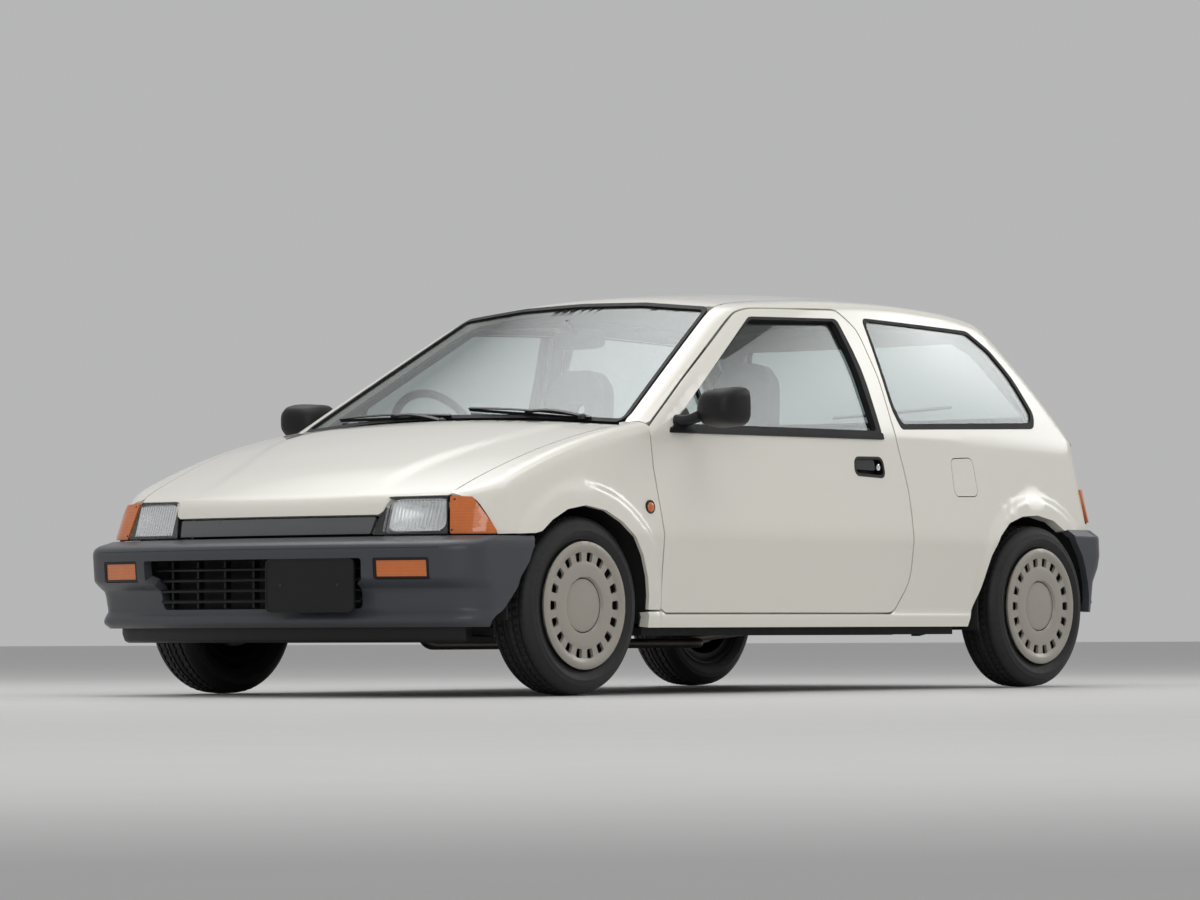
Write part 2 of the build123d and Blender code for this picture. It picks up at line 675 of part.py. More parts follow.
for place, x in (("front", FRONT_AXLE_X), ("rear", REAR_AXLE_X)):
    for side, hand in (("left", 1), ("right", -1)):
        axle = Axis((x, hand * HALF_TRACK, TYRE_RADIUS), (0, 1, 0))
        with BuildPart() as tyre:
            with BuildSketch(wheel_plane(x, hand)):
                with BuildLine():
                    Polyline(
                        (-57, 190), (-52, RIM_RADIUS + 8), (52, RIM_RADIUS + 8), (57, 190), (76, 206),
                        (TYRE_WIDTH / 2, 226), (80, 244), (70, 258), (52, TYRE_RADIUS - 2),
                        (0, TYRE_RADIUS), (-52, TYRE_RADIUS - 2), (-70, 258), (-80, 244),
                        (-TYRE_WIDTH / 2, 226), (-76, 206), close=True,
                    )
                make_face()
            revolve(axis=axle)
        tyre.part.label = f"tyre_{place}_{side}"
        export_step(tyre.part, f"parts/tyre_{place}_{side}.step")

        with BuildPart() as wheel:
            with BuildSketch(wheel_plane(x, hand)):
                with BuildLine():
                    Polyline(
                        (-62, 158), (62, 158), (62, 180), (58.5, 186), (53, RIM_RADIUS + 7.5),
                        (-53, RIM_RADIUS + 7.5), (-58.5, 186), (-62, 180), close=True,
                    )
                make_face()
            revolve(axis=axle)
            with BuildSketch(wheel_plane(x, hand)):
                with BuildLine():
                    Polyline(
                        (40, 0), (40, 70), (30, 100), (30, 158), (60, 158), (60, 178), (66, COVER_RADIUS),
                        (73, COVER_RADIUS - 2), (76, 178), (COVER_FACE - 3, 166), (COVER_FACE - 3, 122),
                        (COVER_FACE, CAP_RADIUS + 3), (COVER_FACE - 3, CAP_RADIUS),
                        (COVER_FACE, CAP_RADIUS - 3), (COVER_FACE + 2, 0), close=True,
                    )
                make_face()
            revolve(axis=axle)
            with BuildSketch(face_plane(x, hand, COVER_FACE + 5)):
                with PolarLocations(VENT_INNER + VENT_WIDTH / 2, VENT_COUNT):
                    Circle(VENT_WIDTH / 2)
                    with Locations((7, 0)):
                        Rectangle(14, VENT_WIDTH)
            extrude(amount=-25, mode=Mode.SUBTRACT)
        wheel.part.label = f"wheel_{place}_{side}"
        export_step(wheel.part, f"parts/wheel_{place}_{side}.step")

# ---------------------------------------------------------------------------
# Running gear: knuckles, lower arms and struts, rear beam
# ---------------------------------------------------------------------------

for side, hand in (("left", 1), ("right", -1)):
    with BuildPart() as knuckle:
        with BuildSketch(Plane.XZ.offset(-612)):
            with Locations((FRONT_AXLE_X, TYRE_RADIUS)):
                Circle(40)
        extrude(amount=-126)
        with BuildSketch(Plane.XZ.offset(-625)):
            with Locations((FRONT_AXLE_X, 285)):
                RectangleRounded(64, 200, 14)
        extrude(amount=-28)
        with BuildSketch(Plane.XZ.offset(-560)):
            with Locations((FRONT_AXLE_X, 360)):
                RectangleRounded(44, 60, 8)
        extrude(amount=-70)
        with BuildSketch(Plane.XY.offset(228)):
            with Locations((FRONT_AXLE_X - 65, 622)):
                Rectangle(110, 20)
        extrude(amount=18)
        if side == "right":
            mirror(about=Plane.XZ, mode=Mode.REPLACE)
    knuckle.part.label = f"knuckle_{side}"
    export_step(knuckle.part, f"parts/knuckle_{side}.step")

with BuildPart() as front_suspension:
    with BuildSketch(Plane.XY.offset(160)):
        with BuildLine():
            Polyline(
                (FRONT_AXLE_X - 36, 655), (FRONT_AXLE_X + 36, 655), (FRONT_AXLE_X + 40, 470),
                (FRONT_AXLE_X + 130, 300), (FRONT_AXLE_X - 150, 300), (FRONT_AXLE_X - 40, 470), close=True,
            )
        make_face()
    extrude(amount=18)
    with BuildSketch(Plane.XY.offset(395)):
        with Locations((FRONT_AXLE_X, 575)):
            Circle(22)
    extrude(amount=208)
    mirror(about=Plane.XZ)
    add(box_between((FRONT_AXLE_X - 150, -300, 160), (FRONT_AXLE_X + 130, 300, 205)))
front_suspension.part.label = "front_suspension"
export_step(front_suspension.part, "parts/front_suspension.step")

with BuildPart() as rear_axle_beam:
    with BuildSketch(Plane.XZ.offset(570)):
        with Locations((REAR_AXLE_X + 120, 262)):
            RectangleRounded(64, 64, 16)
    extrude(amount=-1140)
    with BuildSketch(Plane.XZ.offset(-540)):
        with BuildLine():
            Polyline(
                (REAR_AXLE_X + 400, 222), (REAR_AXLE_X + 400, 172), (REAR_AXLE_X, 235),
                (REAR_AXLE_X - 45, 262), (REAR_AXLE_X, 305), (REAR_AXLE_X + 150, 300), close=True,
            )
        make_face()
    extrude(amount=-34)
    with BuildSketch(Plane.XZ.offset(-574)):
        with Locations((REAR_AXLE_X, TYRE_RADIUS)):
            Circle(40)
    extrude(amount=-164)
    split(bisect_by=Plane.XZ, keep=Keep.BOTTOM)
    mirror(about=Plane.XZ)
rear_axle_beam.part.label = "rear_axle_beam"
export_step(rear_axle_beam.part, "parts/rear_axle_beam.step")

with BuildPart() as fuel_tank:
    add(box_between((-1090, -320, 176), (-870, 330, 330)))
    fillet(fuel_tank.edges().filter_by(Axis.Y), 22)
fuel_tank.part.label = "fuel_tank"
export_step(fuel_tank.part, "parts/fuel_tank.step")

with BuildPart() as exhaust_system:
    with BuildLine() as exhaust_route:
        FilletPolyline(
            (984, -60, 292), (860, -60, 152), (-520, -60, 152), (-800, -395, 160), (-1300, -395, 200),
            (-1755, -395, 238), radius=60,
        )
    with BuildSketch(Plane(exhaust_route.line @ 0, z_dir=exhaust_route.line % 0)):
        Circle(16)
    sweep()
    with BuildSketch(Plane.YZ.offset(-1590)):
        with Locations((-395, 248)):
            SlotCenterToCenter(100, 100)
    extrude(amount=210)
exhaust_system.part.label = "exhaust_system"
export_step(exhaust_system.part, "parts/exhaust_system.step")

# ---------------------------------------------------------------------------
# Cabin
# ---------------------------------------------------------------------------

# The dashboard's ends leave room for the doors' front edges as they swing
dash_fit = lower_form(DOOR_THICKNESS + 45, TAILGATE_THICKNESS, 0)
DASH_PROFILE = [(772, 560), (772, 800), (700, 826), (600, 812), (560, 770), (585, 660), (640, 560)]
with BuildPart() as dashboard:
    with BuildSketch(Plane.XZ.offset(690)) as dash_sketch:
        with BuildLine():
            Polyline(*DASH_PROFILE, close=True)
        make_face()
        fillet(dash_sketch.vertices().sort_by(Axis.X)[:3], 24)
    extrude(amount=-1380)
    add(box_between((560, DRIVER_Y - 32, 700), (660, DRIVER_Y + 32, 764)))
    add(dash_fit + upper_form(110, 75, 60), mode=Mode.INTERSECT)
dashboard.part.label = "dashboard"
export_step(dashboard.part, "parts/dashboard.step")

SEAT_PROFILE = [
    (420, 330), (440, 430), (400, 470), (0, 440), (-60, 480), (-196, 850), (-296, 850), (-180, 420),
    (-130, 320),
]
HEADREST_OUTLINE = [(-125, 845), (125, 845), (118, 990), (70, 1062), (-70, 1062), (-118, 990)]
HEADREST_OPENING = [(-48, 862), (48, 862), (36, 950), (-36, 950)]
with BuildPart() as front_seats:
    for seat_y in (-DRIVER_Y, DRIVER_Y):
        headrest = front_cut([(seat_y + y, z) for y, z in HEADREST_OUTLINE], -278, -212, 30)
        headrest -= front_cut([(seat_y + y, z) for y, z in HEADREST_OPENING], -300, -200, 16)
        add(headrest)
        with BuildSketch(Plane.XZ.offset(-seat_y + 250)) as seat_sketch:
            with BuildLine():
                Polyline(*SEAT_PROFILE, close=True)
            make_face()
            fillet(seat_sketch.vertices(), 25)
        extrude(amount=-500)
front_seats.part.label = "front_seats"
export_step(front_seats.part, "parts/front_seats.step")

REAR_SEAT_PROFILE = [
    (-640, 390), (-620, 450), (-1040, 480), (-1190, 850), (-1250, 830), (-1140, 480), (-1120, 390),
]
with BuildPart() as rear_seat:
    with BuildSketch(Plane.XZ.offset(560)) as bench_sketch:
        with BuildLine():
            Polyline(*REAR_SEAT_PROFILE, close=True)
        make_face()
        fillet(bench_sketch.vertices(), 20)
    extrude(amount=-1120)
rear_seat.part.label = "rear_seat"
export_step(rear_seat.part, "parts/rear_seat.step")

STEERING_CENTRE = (480, DRIVER_Y, 792)
STEERING_TILT = 24
steering_plane = Plane(
    origin=STEERING_CENTRE,
    x_dir=(0, 1, 0),
    z_dir=(-cos(radians(STEERING_TILT)), 0, sin(radians(STEERING_TILT))),
)
rim_plane = Plane(
    origin=STEERING_CENTRE, x_dir=(0, 1, 0), z_dir=steering_plane.x_dir.cross(steering_plane.z_dir)
)
with BuildPart() as steering_wheel:
    with BuildSketch(rim_plane):
        with Locations((178, 0)):
            RegularPolygon(14, 8)
    revolve(axis=Axis(STEERING_CENTRE, steering_plane.z_dir))
    with BuildSketch(steering_plane.offset(-14)):
        Rectangle(350, 44)
        with Locations((0, -84)):
            Rectangle(44, 168)
        Circle(62)
    extrude(amount=18)
    with BuildSketch(steering_plane.offset(-60)):
        Circle(26)
    extrude(amount=46)
steering_wheel.part.label = "steering_wheel"
export_step(steering_wheel.part, "parts/steering_wheel.step")
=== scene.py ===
"""Looks for a compact three-door hatchback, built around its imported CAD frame.

Lengths are metres in the frame's axes: +X forward, +Y to the car's left, +Z up.
"""

import logging
import math
from dataclasses import dataclass, field
from enum import Enum
from typing import Callable, Iterable, Sequence, Union

import bpy
import numpy as np
from mathutils import Matrix, Vector
from mathutils.geometry import delaunay_2d_cdt


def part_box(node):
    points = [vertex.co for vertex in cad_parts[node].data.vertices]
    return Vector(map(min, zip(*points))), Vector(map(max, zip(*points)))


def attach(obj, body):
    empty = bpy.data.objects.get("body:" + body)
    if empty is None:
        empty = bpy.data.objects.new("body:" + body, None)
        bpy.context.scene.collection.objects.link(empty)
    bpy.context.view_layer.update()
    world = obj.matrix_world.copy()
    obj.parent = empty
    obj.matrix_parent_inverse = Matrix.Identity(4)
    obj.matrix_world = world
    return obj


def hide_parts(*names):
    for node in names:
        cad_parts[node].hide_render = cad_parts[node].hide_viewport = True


logging.basicConfig(level=logging.INFO, format="%(message)s")
log = logging.getLogger("hatchback")

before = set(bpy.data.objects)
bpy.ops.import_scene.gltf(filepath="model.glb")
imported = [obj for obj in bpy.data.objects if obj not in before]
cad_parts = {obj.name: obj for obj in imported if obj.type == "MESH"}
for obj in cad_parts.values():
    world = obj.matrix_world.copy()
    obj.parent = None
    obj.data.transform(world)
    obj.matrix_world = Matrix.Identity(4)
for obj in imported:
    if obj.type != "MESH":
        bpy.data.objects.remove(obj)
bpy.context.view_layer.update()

Array = np.ndarray
Mesh = bpy.types.Mesh
Loop = list[tuple[float, float]]

FRONT_AXLE = 1.110
REAR_AXLE = -1.290
HALF_TRACK = 0.702
TYRE_RADIUS = 0.270
ARCH_Z = 0.272
BELT = 0.812
SIDES = (("left", 1), ("right", -1))


# ---------------------------------------------------------------------------
# Body shape: horizontal rings, a hood line and a roof line
# ---------------------------------------------------------------------------

# height, nose, front corner x and y, middle y, rear corner x and y, tail, corner radius
LOWER_RINGS = np.array([
    (0.203, 1.600, 1.490, 0.740, 0.783, -1.640, 0.722, -1.700, 0.100),
    (0.485, 1.662, 1.550, 0.776, 0.806, -1.692, 0.757, -1.755, 0.100),
    (0.812, 1.560, 1.455, 0.727, 0.757, -1.642, 0.707, -1.712, 0.090),
])
UPPER_RINGS = np.array([
    (0.812, 0.891, 0.784, 0.745, 0.754, -1.638, 0.703, -1.709, 0.045),
    (1.030, 0.527, 0.430, 0.650, 0.682, -1.440, 0.645, -1.508, 0.045),
    (1.330, 0.003, -0.061, 0.507, 0.563, -1.114, 0.540, -1.163, 0.045),
])
# only the measures that change up a bumper differ from row to row
FRONT_BUMPER_RINGS = np.array([(*row, -1.640, 0.770, -1.700, 0.110) for row in (
    (0.205, 1.712, 1.580, 0.771, 0.800), (0.221, 1.738, 1.606, 0.776, 0.804),
    (0.237, 1.737, 1.605, 0.776, 0.804), (0.258, 1.717, 1.588, 0.774, 0.802),
    (0.318, 1.727, 1.599, 0.777, 0.805), (0.338, 1.756, 1.626, 0.781, 0.809),
    (0.352, 1.773, 1.641, 0.783, 0.810), (0.438, 1.779, 1.647, 0.784, 0.810),
    (0.451, 1.772, 1.641, 0.783, 0.810), (0.461, 1.752, 1.622, 0.782, 0.809),
    (0.476, 1.676, 1.562, 0.779, 0.807),
)])
REAR_BUMPER_RINGS = np.array([(z, 1.500, 1.400, 0.770, *row, 0.090) for z, *row in (
    (0.250, 0.800, -1.645, 0.772, -1.731), (0.352, 0.800, -1.657, 0.775, -1.744),
    (0.400, 0.808, -1.682, 0.778, -1.770), (0.442, 0.810, -1.691, 0.780, -1.779),
    (0.505, 0.810, -1.689, 0.779, -1.775), (0.528, 0.807, -1.650, 0.768, -1.734),
)])
HOOD_LINE = ((0.740, 0.872), (0.928, 0.840), (1.298, 0.735), (1.562, 0.624), (1.760, 0.512))
ROOF_LINE = (
    (-1.350, 1.238), (-1.100, 1.281), (-0.800, 1.301), (-0.500, 1.303), (-0.200, 1.290), (0.100, 1.262),
    (0.330, 1.212),
)
MID_FILLET = 1 - math.sqrt(0.5)
CABIN_HEIGHTS = (0.6, 1.6)
HOOD_EDGE_ENDS = ((1.554, 0.631), (0.842, 0.697))


def smoothstep(low: float, high: float, value: Array) -> Array:
    """A soft step from 0 at low to 1 at high."""
    t = np.clip((value - low) / (high - low), 0, 1)
    return t * t * (3 - 2 * t)


def belt_blend(below: Array, above: Array, z: Array) -> Array:
    """A measure that changes over at the belt line."""
    share = smoothstep(BELT - 0.012, BELT + 0.012, z)
    return (1 - share) * below + share * above


def hood_edge(x: Array) -> Array:
    """The half-width of the hood at x."""
    (front_x, front_y), (rear_x, rear_y) = HOOD_EDGE_ENDS
    return front_y + (rear_y - front_y) * (front_x - x) / (front_x - rear_x)


def circle(radius: float, steps: int) -> Loop:
    """Points round a circle."""
    return [(radius * math.cos(t), radius * math.sin(t)) for t in np.linspace(0, 2 * math.pi, steps, False)]


def spline(stations: Sequence[tuple[float, float]], at: Array) -> Array:
    """A smooth curve through stations.

    Args:
        stations: Places and heights, in order of place.
        at: Where to read it.

    Returns:
        The heights there.
    """
    places, heights = np.array(stations, float).T
    slopes = np.gradient(heights, places)
    i = np.clip(np.searchsorted(places, at) - 1, 0, len(places) - 2)
    span = places[i + 1] - places[i]
    t = (at - places[i]) / span
    return (
        (1 + 2 * t) * (1 - t) ** 2 * heights[i] + t * (1 - t) ** 2 * span * slopes[i]
        + t * t * (3 - 2 * t) * heights[i + 1] + t * t * (t - 1) * span * slopes[i + 1]
    )


def soft_minimum(a: Array, b: Array, reach: float = 0.03) -> Array:
    """The lower of two heights, with the crease between them rounded."""
    share = np.clip(0.5 + 0.5 * (b - a) / reach, 0, 1)
    return b + (a - b) * share - reach * share * (1 - share)


def fillet(radius: Array, gap: Array) -> Array:
    """How far a rounded corner falls short, at a distance from the other wall."""
    missing = np.clip(radius - gap, 0, radius * 0.985)
    return radius - np.sqrt(radius**2 - missing**2)


class Ring:
    """Horizontal outlines of the body at many heights at once."""

    def __init__(self, values: Array) -> None:
        """Takes the eight measures of a ring, each an array over the points."""
        (self.nose, self.front_x, self.front_y, self.mid_y, self.rear_x, self.rear_y, self.tail,
         self.corner) = values

    def side(self, x: Array) -> Array:
        """The half-width at x, as if the corners were sharp."""
        mid = (self.front_x + self.rear_x) / 2
        half = (self.front_x - self.rear_x) / 2
        t = (x - mid) / half
        return (
            self.mid_y + t * (self.front_y - self.rear_y) / 2
            + t * t * ((self.front_y + self.rear_y) / 2 - self.mid_y)
        )

    def front(self, y: Array) -> Array:
        """Where the front face lies at y."""
        return self.nose - (self.nose - self.front_x) * (y / self.front_y) ** 2

    def rear(self, y: Array) -> Array:
        """Where the rear face lies at y."""
        return self.tail + (self.rear_x - self.tail) * (y / self.rear_y) ** 2

    def side_rounded(self, x: Array) -> Array:
        """The half-width at x with rounded corners."""
        sharp = self.side(x)
        y = sharp
        for _ in range(4):
            gap = np.minimum(self.front(y) - x, x - self.rear(y))
            y = sharp - fillet(self.corner, gap)
        return y

    def end_rounded(self, y: Array, front: bool) -> Array:
        """Where the front or rear face lies at y, with rounded corners."""
        sharp = self.front(y) if front else self.rear(y)
        inward = -1 if front else 1
        x = sharp
        for _ in range(4):
            x = sharp + inward * fillet(self.corner, self.side(x) - np.abs(y))
        return x


def lower_ring(z: Array) -> Ring:
    """The rings below the windows, ruled between three levels."""
    heights, rows = LOWER_RINGS[:, 0], LOWER_RINGS[:, 1:]
    z = np.asarray(z, float)
    low = [a + (z - heights[0]) / (heights[1] - heights[0]) * (b - a) for a, b in zip(rows[0], rows[1])]
    high = [a + (z - heights[1]) / (heights[2] - heights[1]) * (b - a) for a, b in zip(rows[1], rows[2])]
    return Ring([np.where(z < heights[1], a, b) for a, b in zip(low, high)])


def upper_ring(z: Array) -> Ring:
    """The rings of the greenhouse, on a smooth curve through three levels."""
    h, rows = UPPER_RINGS[:, 0], UPPER_RINGS[:, 1:]
    z = np.asarray(z, float)
    shares = [
        (z - h[j]) * (z - h[k]) / ((h[i] - h[j]) * (h[i] - h[k]))
        for i, j, k in ((0, 1, 2), (1, 0, 2), (2, 0, 1))
    ]
    return Ring([sum(s * row[c] for s, row in zip(shares, rows)) for c in range(8)])


def roof_height(x: Array, y: Array) -> Array:
    """The crowned roof."""
    return spline(ROOF_LINE, x) - 0.042 * (y / 0.55) ** 2


def hood_height(x: Array, y: Array) -> Array:
    """The crowned hood, with its raised middle."""
    height = spline(HOOD_LINE, x) - 0.028 * (y / 0.62) ** 2
    edge = 0.335 + 0.16 * smoothstep(1.5, 0.9, x)
    raised = 1 - smoothstep(edge, edge + 0.05, np.abs(y))
    return height + 0.0045 * raised * smoothstep(1.60, 1.42, x) * smoothstep(0.84, 0.95, x)


def solve_height(face: Callable[[Array], Array], x: Array, low: float, high: float) -> Array:
    """The height at which a face that leans away passes x.

    Args:
        face: Gives how far in front of x the face is, falling with height.
        x: The places, used only for their shape.
        low: The lowest height looked at.
        high: The highest.

    Returns:
        The heights.
    """
    bottom, top = np.full_like(x, low), np.full_like(x, high)
    for _ in range(26):
        middle = (bottom + top) / 2
        ahead = face(middle) > 0
        bottom, top = np.where(ahead, middle, bottom), np.where(ahead, top, middle)
    return (bottom + top) / 2


def glass_height(x: Array, y: Array, front: bool, back: float, rounded: bool) -> Array:
    """The height of the windshield's or the sloping rear face over a place."""
    def ahead(z: Array) -> Array:
        ring = upper_ring(z)
        end = ring.end_rounded(y, front) if rounded else ring.front(y) if front else ring.rear(y)
        return end - x - back if front else x - back - end

    return solve_height(ahead, x, *CABIN_HEIGHTS)


def cabin_top(x: Array, y: Array, back: float = 0.0, rounded: bool = True) -> Array:
    """The top of the cabin: roof, windshield and rear face, whichever is lowest."""
    ahead = soft_minimum(roof_height(x, y), glass_height(x, y, True, back, rounded))
    return soft_minimum(ahead, glass_height(x, y, False, back, rounded))


def cabin_side(x: Array, z: Array) -> Array:
    """The half-width of the cabin, doors and windows in one."""
    return belt_blend(lower_ring(z).side_rounded(x), upper_ring(z).side_rounded(x), z)


def flare(x: Array, z: Array) -> Array:
    """How far the side stands out round the wheels and along the sill."""
    out = np.zeros_like(x)
    for axle in (FRONT_AXLE, REAR_AXLE):
        reach = np.hypot(x - axle, np.maximum(z - ARCH_Z, (z - ARCH_Z) * 0.5))
        out += 0.012 * smoothstep(0.378, 0.345, reach)
    return out + 0.007 * smoothstep(0.252, 0.236, z) * smoothstep(0.40, 0.34, z)


class Surface:
    """A surface over two coordinates, with normals and insets worked out by differences."""

    outward = 1

    def at(self, a: Array, b: Array) -> Array:
        """The points over the coordinates, one row each."""
        raise NotImplementedError

    def normal(self, a: Array, b: Array) -> Array:
        """Unit normals that point out of the car."""
        step = 0.0015
        along = self.at(a + step, b) - self.at(a - step, b)
        across = self.at(a, b + step) - self.at(a, b - step)
        n = np.cross(along, across) * self.outward
        return n / np.maximum(np.linalg.norm(n, axis=1, keepdims=True), 1e-12)

    def inset(self, a: Array, b: Array, depth: Union[float, Array]) -> Array:
        """The points moved inwards by a depth."""
        depth = np.broadcast_to(depth, np.shape(a))[:, None]
        return self.at(a, b) - self.normal(a, b) * depth


def softened(raw: Callable[[Array, Array], Array], a: Array, b: Array, reach: Array) -> Array:
    """A surface averaged along its second coordinate, which rounds its creases."""
    total = 0
    for step, weight in ((-1, 1), (-0.5, 2), (0, 3), (0.5, 2), (1, 1)):
        total = total + raw(a, b + step * reach) * (weight / 9)
    return total


class SideSurface(Surface):
    """The left side over x and z, and on over the top edge towards the middle."""

    outward = -1

    def __init__(self, cabin: bool) -> None:
        """Finds the top edge, of the cabin or of the nose."""
        self.cabin = cabin
        self.stations = np.linspace(-1.72, 0.86, 173) if cabin else np.linspace(0.70, 1.66, 97)
        x = self.stations
        z = np.full_like(x, 0.9)
        for _ in range(14):
            if cabin:
                y = cabin_side(x, np.minimum(z, 1.33)) - 0.002
                z = 0.5 * z + 0.5 * cabin_top(x, y, 0.045 * MID_FILLET, False)
            else:
                y = lower_ring(z).side_rounded(x)
                z = 0.5 * z + 0.5 * hood_height(x, y)
        self.edge_z = z
        self.edge_y = cabin_side(x, z) if cabin else lower_ring(z).side_rounded(x)

    def raw(self, x: Array, s: Array) -> Array:
        """The surface with sharp creases."""
        top_z = np.interp(x, self.stations, self.edge_z)
        top_y = np.interp(x, self.stations, self.edge_y)
        low = np.minimum(s, top_z)
        side = cabin_side(x, low) if self.cabin else lower_ring(low).side_rounded(x)
        y_top = top_y - np.maximum(s - top_z, 0)
        top = cabin_top(x, y_top) if self.cabin else hood_height(x, y_top)
        over = s > top_z
        return np.stack([x, np.where(over, y_top, side), np.where(over, top, low)], 1)

    def at(self, a: Array, b: Array) -> Array:
        """The surface with soft creases, arch flares and sill."""
        top_z = np.interp(a, self.stations, self.edge_z)
        reach = 0.009 + (0.021 if self.cabin else 0.030) * smoothstep(0.06, 0.02, np.abs(b - top_z))
        points = softened(self.raw, a, b, reach)
        points[:, 1] += flare(a, b) * (b < top_z)
        return points

    def unfold(self, points: Array) -> Loop:
        """The coordinates of points near the surface."""
        x, y, z = points.T
        top_z = np.interp(x, self.stations, self.edge_z)
        top_y = np.interp(x, self.stations, self.edge_y)
        s = np.where(y < top_y - 0.004, top_z + np.maximum(top_y - y, 0), np.minimum(z, top_z))
        return [(float(p), float(q)) for p, q in zip(x, s)]


class EndSurface(Surface):
    """The front or rear face over y and z, and on over its top edge along the hood or roof."""

    def __init__(self, front: bool) -> None:
        """Finds the top edge of the nose or of the tailgate."""
        self.front = front
        self.outward = 1 if front else -1
        self.stations = np.linspace(0, 0.70 if front else 0.585, 60)
        y = self.stations
        z = np.full_like(y, 0.62 if front else 1.2)
        for _ in range(16):
            z = 0.5 * z + 0.5 * self.top(self.face(y, z), y)
        self.edge_z = z
        self.edge_x = self.face(y, z)

    def face(self, y: Array, z: Array) -> Array:
        """Where the upright face lies."""
        if self.front:
            return lower_ring(z).end_rounded(y, True)
        return belt_blend(lower_ring(z).end_rounded(y, False), upper_ring(z).end_rounded(y, False), z)

    def top(self, x: Array, y: Array) -> Array:
        """The height of the surface that the face turns over into."""
        return hood_height(x, y) if self.front else roof_height(x, y)

    def edge(self, y: Array) -> tuple[Array, Array]:
        """The top edge's x and z at y."""
        y = np.abs(y)
        return np.interp(y, self.stations, self.edge_x), np.interp(y, self.stations, self.edge_z)

    def raw(self, y: Array, s: Array) -> Array:
        """The surface with sharp creases."""
        edge_x, edge_z = self.edge(y)
        low = np.minimum(s, edge_z)
        inward = -1 if self.front else 1
        x_top = edge_x + inward * np.maximum(s - edge_z, 0)
        over = s > edge_z
        return np.stack(
            [np.where(over, x_top, self.face(y, low)), y, np.where(over, self.top(x_top, y), low)], 1
        )

    def at(self, a: Array, b: Array) -> Array:
        """The surface with soft creases."""
        edge_z = self.edge(a)[1]
        soft = 0.020 if self.front else 0.026
        reach = 0.009 + soft * smoothstep(0.07, 0.02, np.abs(b - edge_z))
        return softened(self.raw, a, b, reach)

    def over(self, x: float, y: float) -> tuple[float, float]:
        """The coordinates of a place on the hood or roof."""
        edge_x, edge_z = self.edge(np.array([y]))
        return y, float(edge_z[0] + abs(x - edge_x[0]))


class GlassFace(Surface):
    """The windshield's or rear window's face over y and z."""

    def __init__(self, front: bool, depth: float = 0.0) -> None:
        """Keeps which face it is and how deep it lies."""
        self.front, self.depth, self.outward = front, depth, 1 if front else -1

    def at(self, a: Array, b: Array) -> Array:
        """The points of the face."""
        ring = upper_ring(b)
        return np.stack([ring.end_rounded(a, self.front), a, b], 1)


class TopSurface(Surface):
    """The roof over x and y."""

    def at(self, a: Array, b: Array) -> Array:
        """The points of the roof."""
        return np.stack([a, b, cabin_top(a, b)], 1)


class WrapSurface(Surface):
    """A band round the nose or tail: distance round the outline, and height or distance up a profile."""

    def __init__(self, rings: Array, front: bool, upright: bool) -> None:
        """Keeps the rings, which end it wraps, and whether the second coordinate is plain height."""
        self.rings, self.front, self.upright = rings, front, upright
        self.outward = 1 if front else -1
        ends = rings[:, 1] if front else rings[:, 7]
        steps = np.hypot(np.diff(ends), np.diff(rings[:, 0]))
        self.up = rings[:, 0] if upright else rings[0, 0] + np.concatenate([[0], np.cumsum(steps)])

    def ring(self, s: Array) -> tuple[Ring, Array]:
        """The ring at a distance up the profile, and its height."""
        i = np.clip(np.searchsorted(self.up, s) - 1, 0, len(self.up) - 2)
        t = (s - self.up[i]) / (self.up[i + 1] - self.up[i])
        values = self.rings[i] + t[:, None] * (self.rings[i + 1] - self.rings[i])
        return Ring(values[:, 1:].T), values[:, 0]

    def raw(self, u: Array, s: Array) -> Array:
        """The surface with sharp creases along its profile."""
        ring, z = self.ring(s)
        hand, u = np.where(u < 0, -1.0, 1.0), np.abs(u)
        end = ring.front if self.front else ring.rear
        corner_x = ring.front_x if self.front else ring.rear_x
        corner_y = ring.front_y if self.front else ring.rear_y
        back = -1 if self.front else 1
        reach = ring.corner * 0.77
        bend = ring.corner * 1.31
        y1 = corner_y - reach
        length = y1 * 1.012
        x2 = corner_x + back * reach
        t = np.clip((u - length) / bend, 0, 1)
        w = 0.79
        weights = ((1 - t) ** 2, 2 * w * t * (1 - t), t**2)
        total = sum(weights)
        bend_x = (weights[0] * end(y1) + weights[1] * corner_x + weights[2] * x2) / total
        bend_y = (weights[0] * y1 + weights[1] * corner_y + weights[2] * ring.side(x2)) / total
        beyond = np.maximum(u - length - bend, 0)
        x3 = x2 + back * beyond
        x = np.where(u < length, end(u / 1.012), np.where(beyond > 0, x3, bend_x))
        y = np.where(u < length, u / 1.012, np.where(beyond > 0, ring.side(x3), bend_y))
        return np.stack([x, hand * y, z], 1)

    def at(self, a: Array, b: Array) -> Array:
        """The surface with soft creases."""
        return softened(self.raw, a, b, np.full_like(a, 0.007))

    def round_to(self, x: float, s: float) -> float:
        """The distance round the outline at which the side passes x."""
        u = np.linspace(0, 1.4, 1401)
        xs = self.raw(u, np.full_like(u, s))[:, 0]
        return float(u[np.argmin(np.abs(xs - x) + (u < 0.5))])


# ---------------------------------------------------------------------------
# Flat outlines and meshes cut from surfaces
# ---------------------------------------------------------------------------


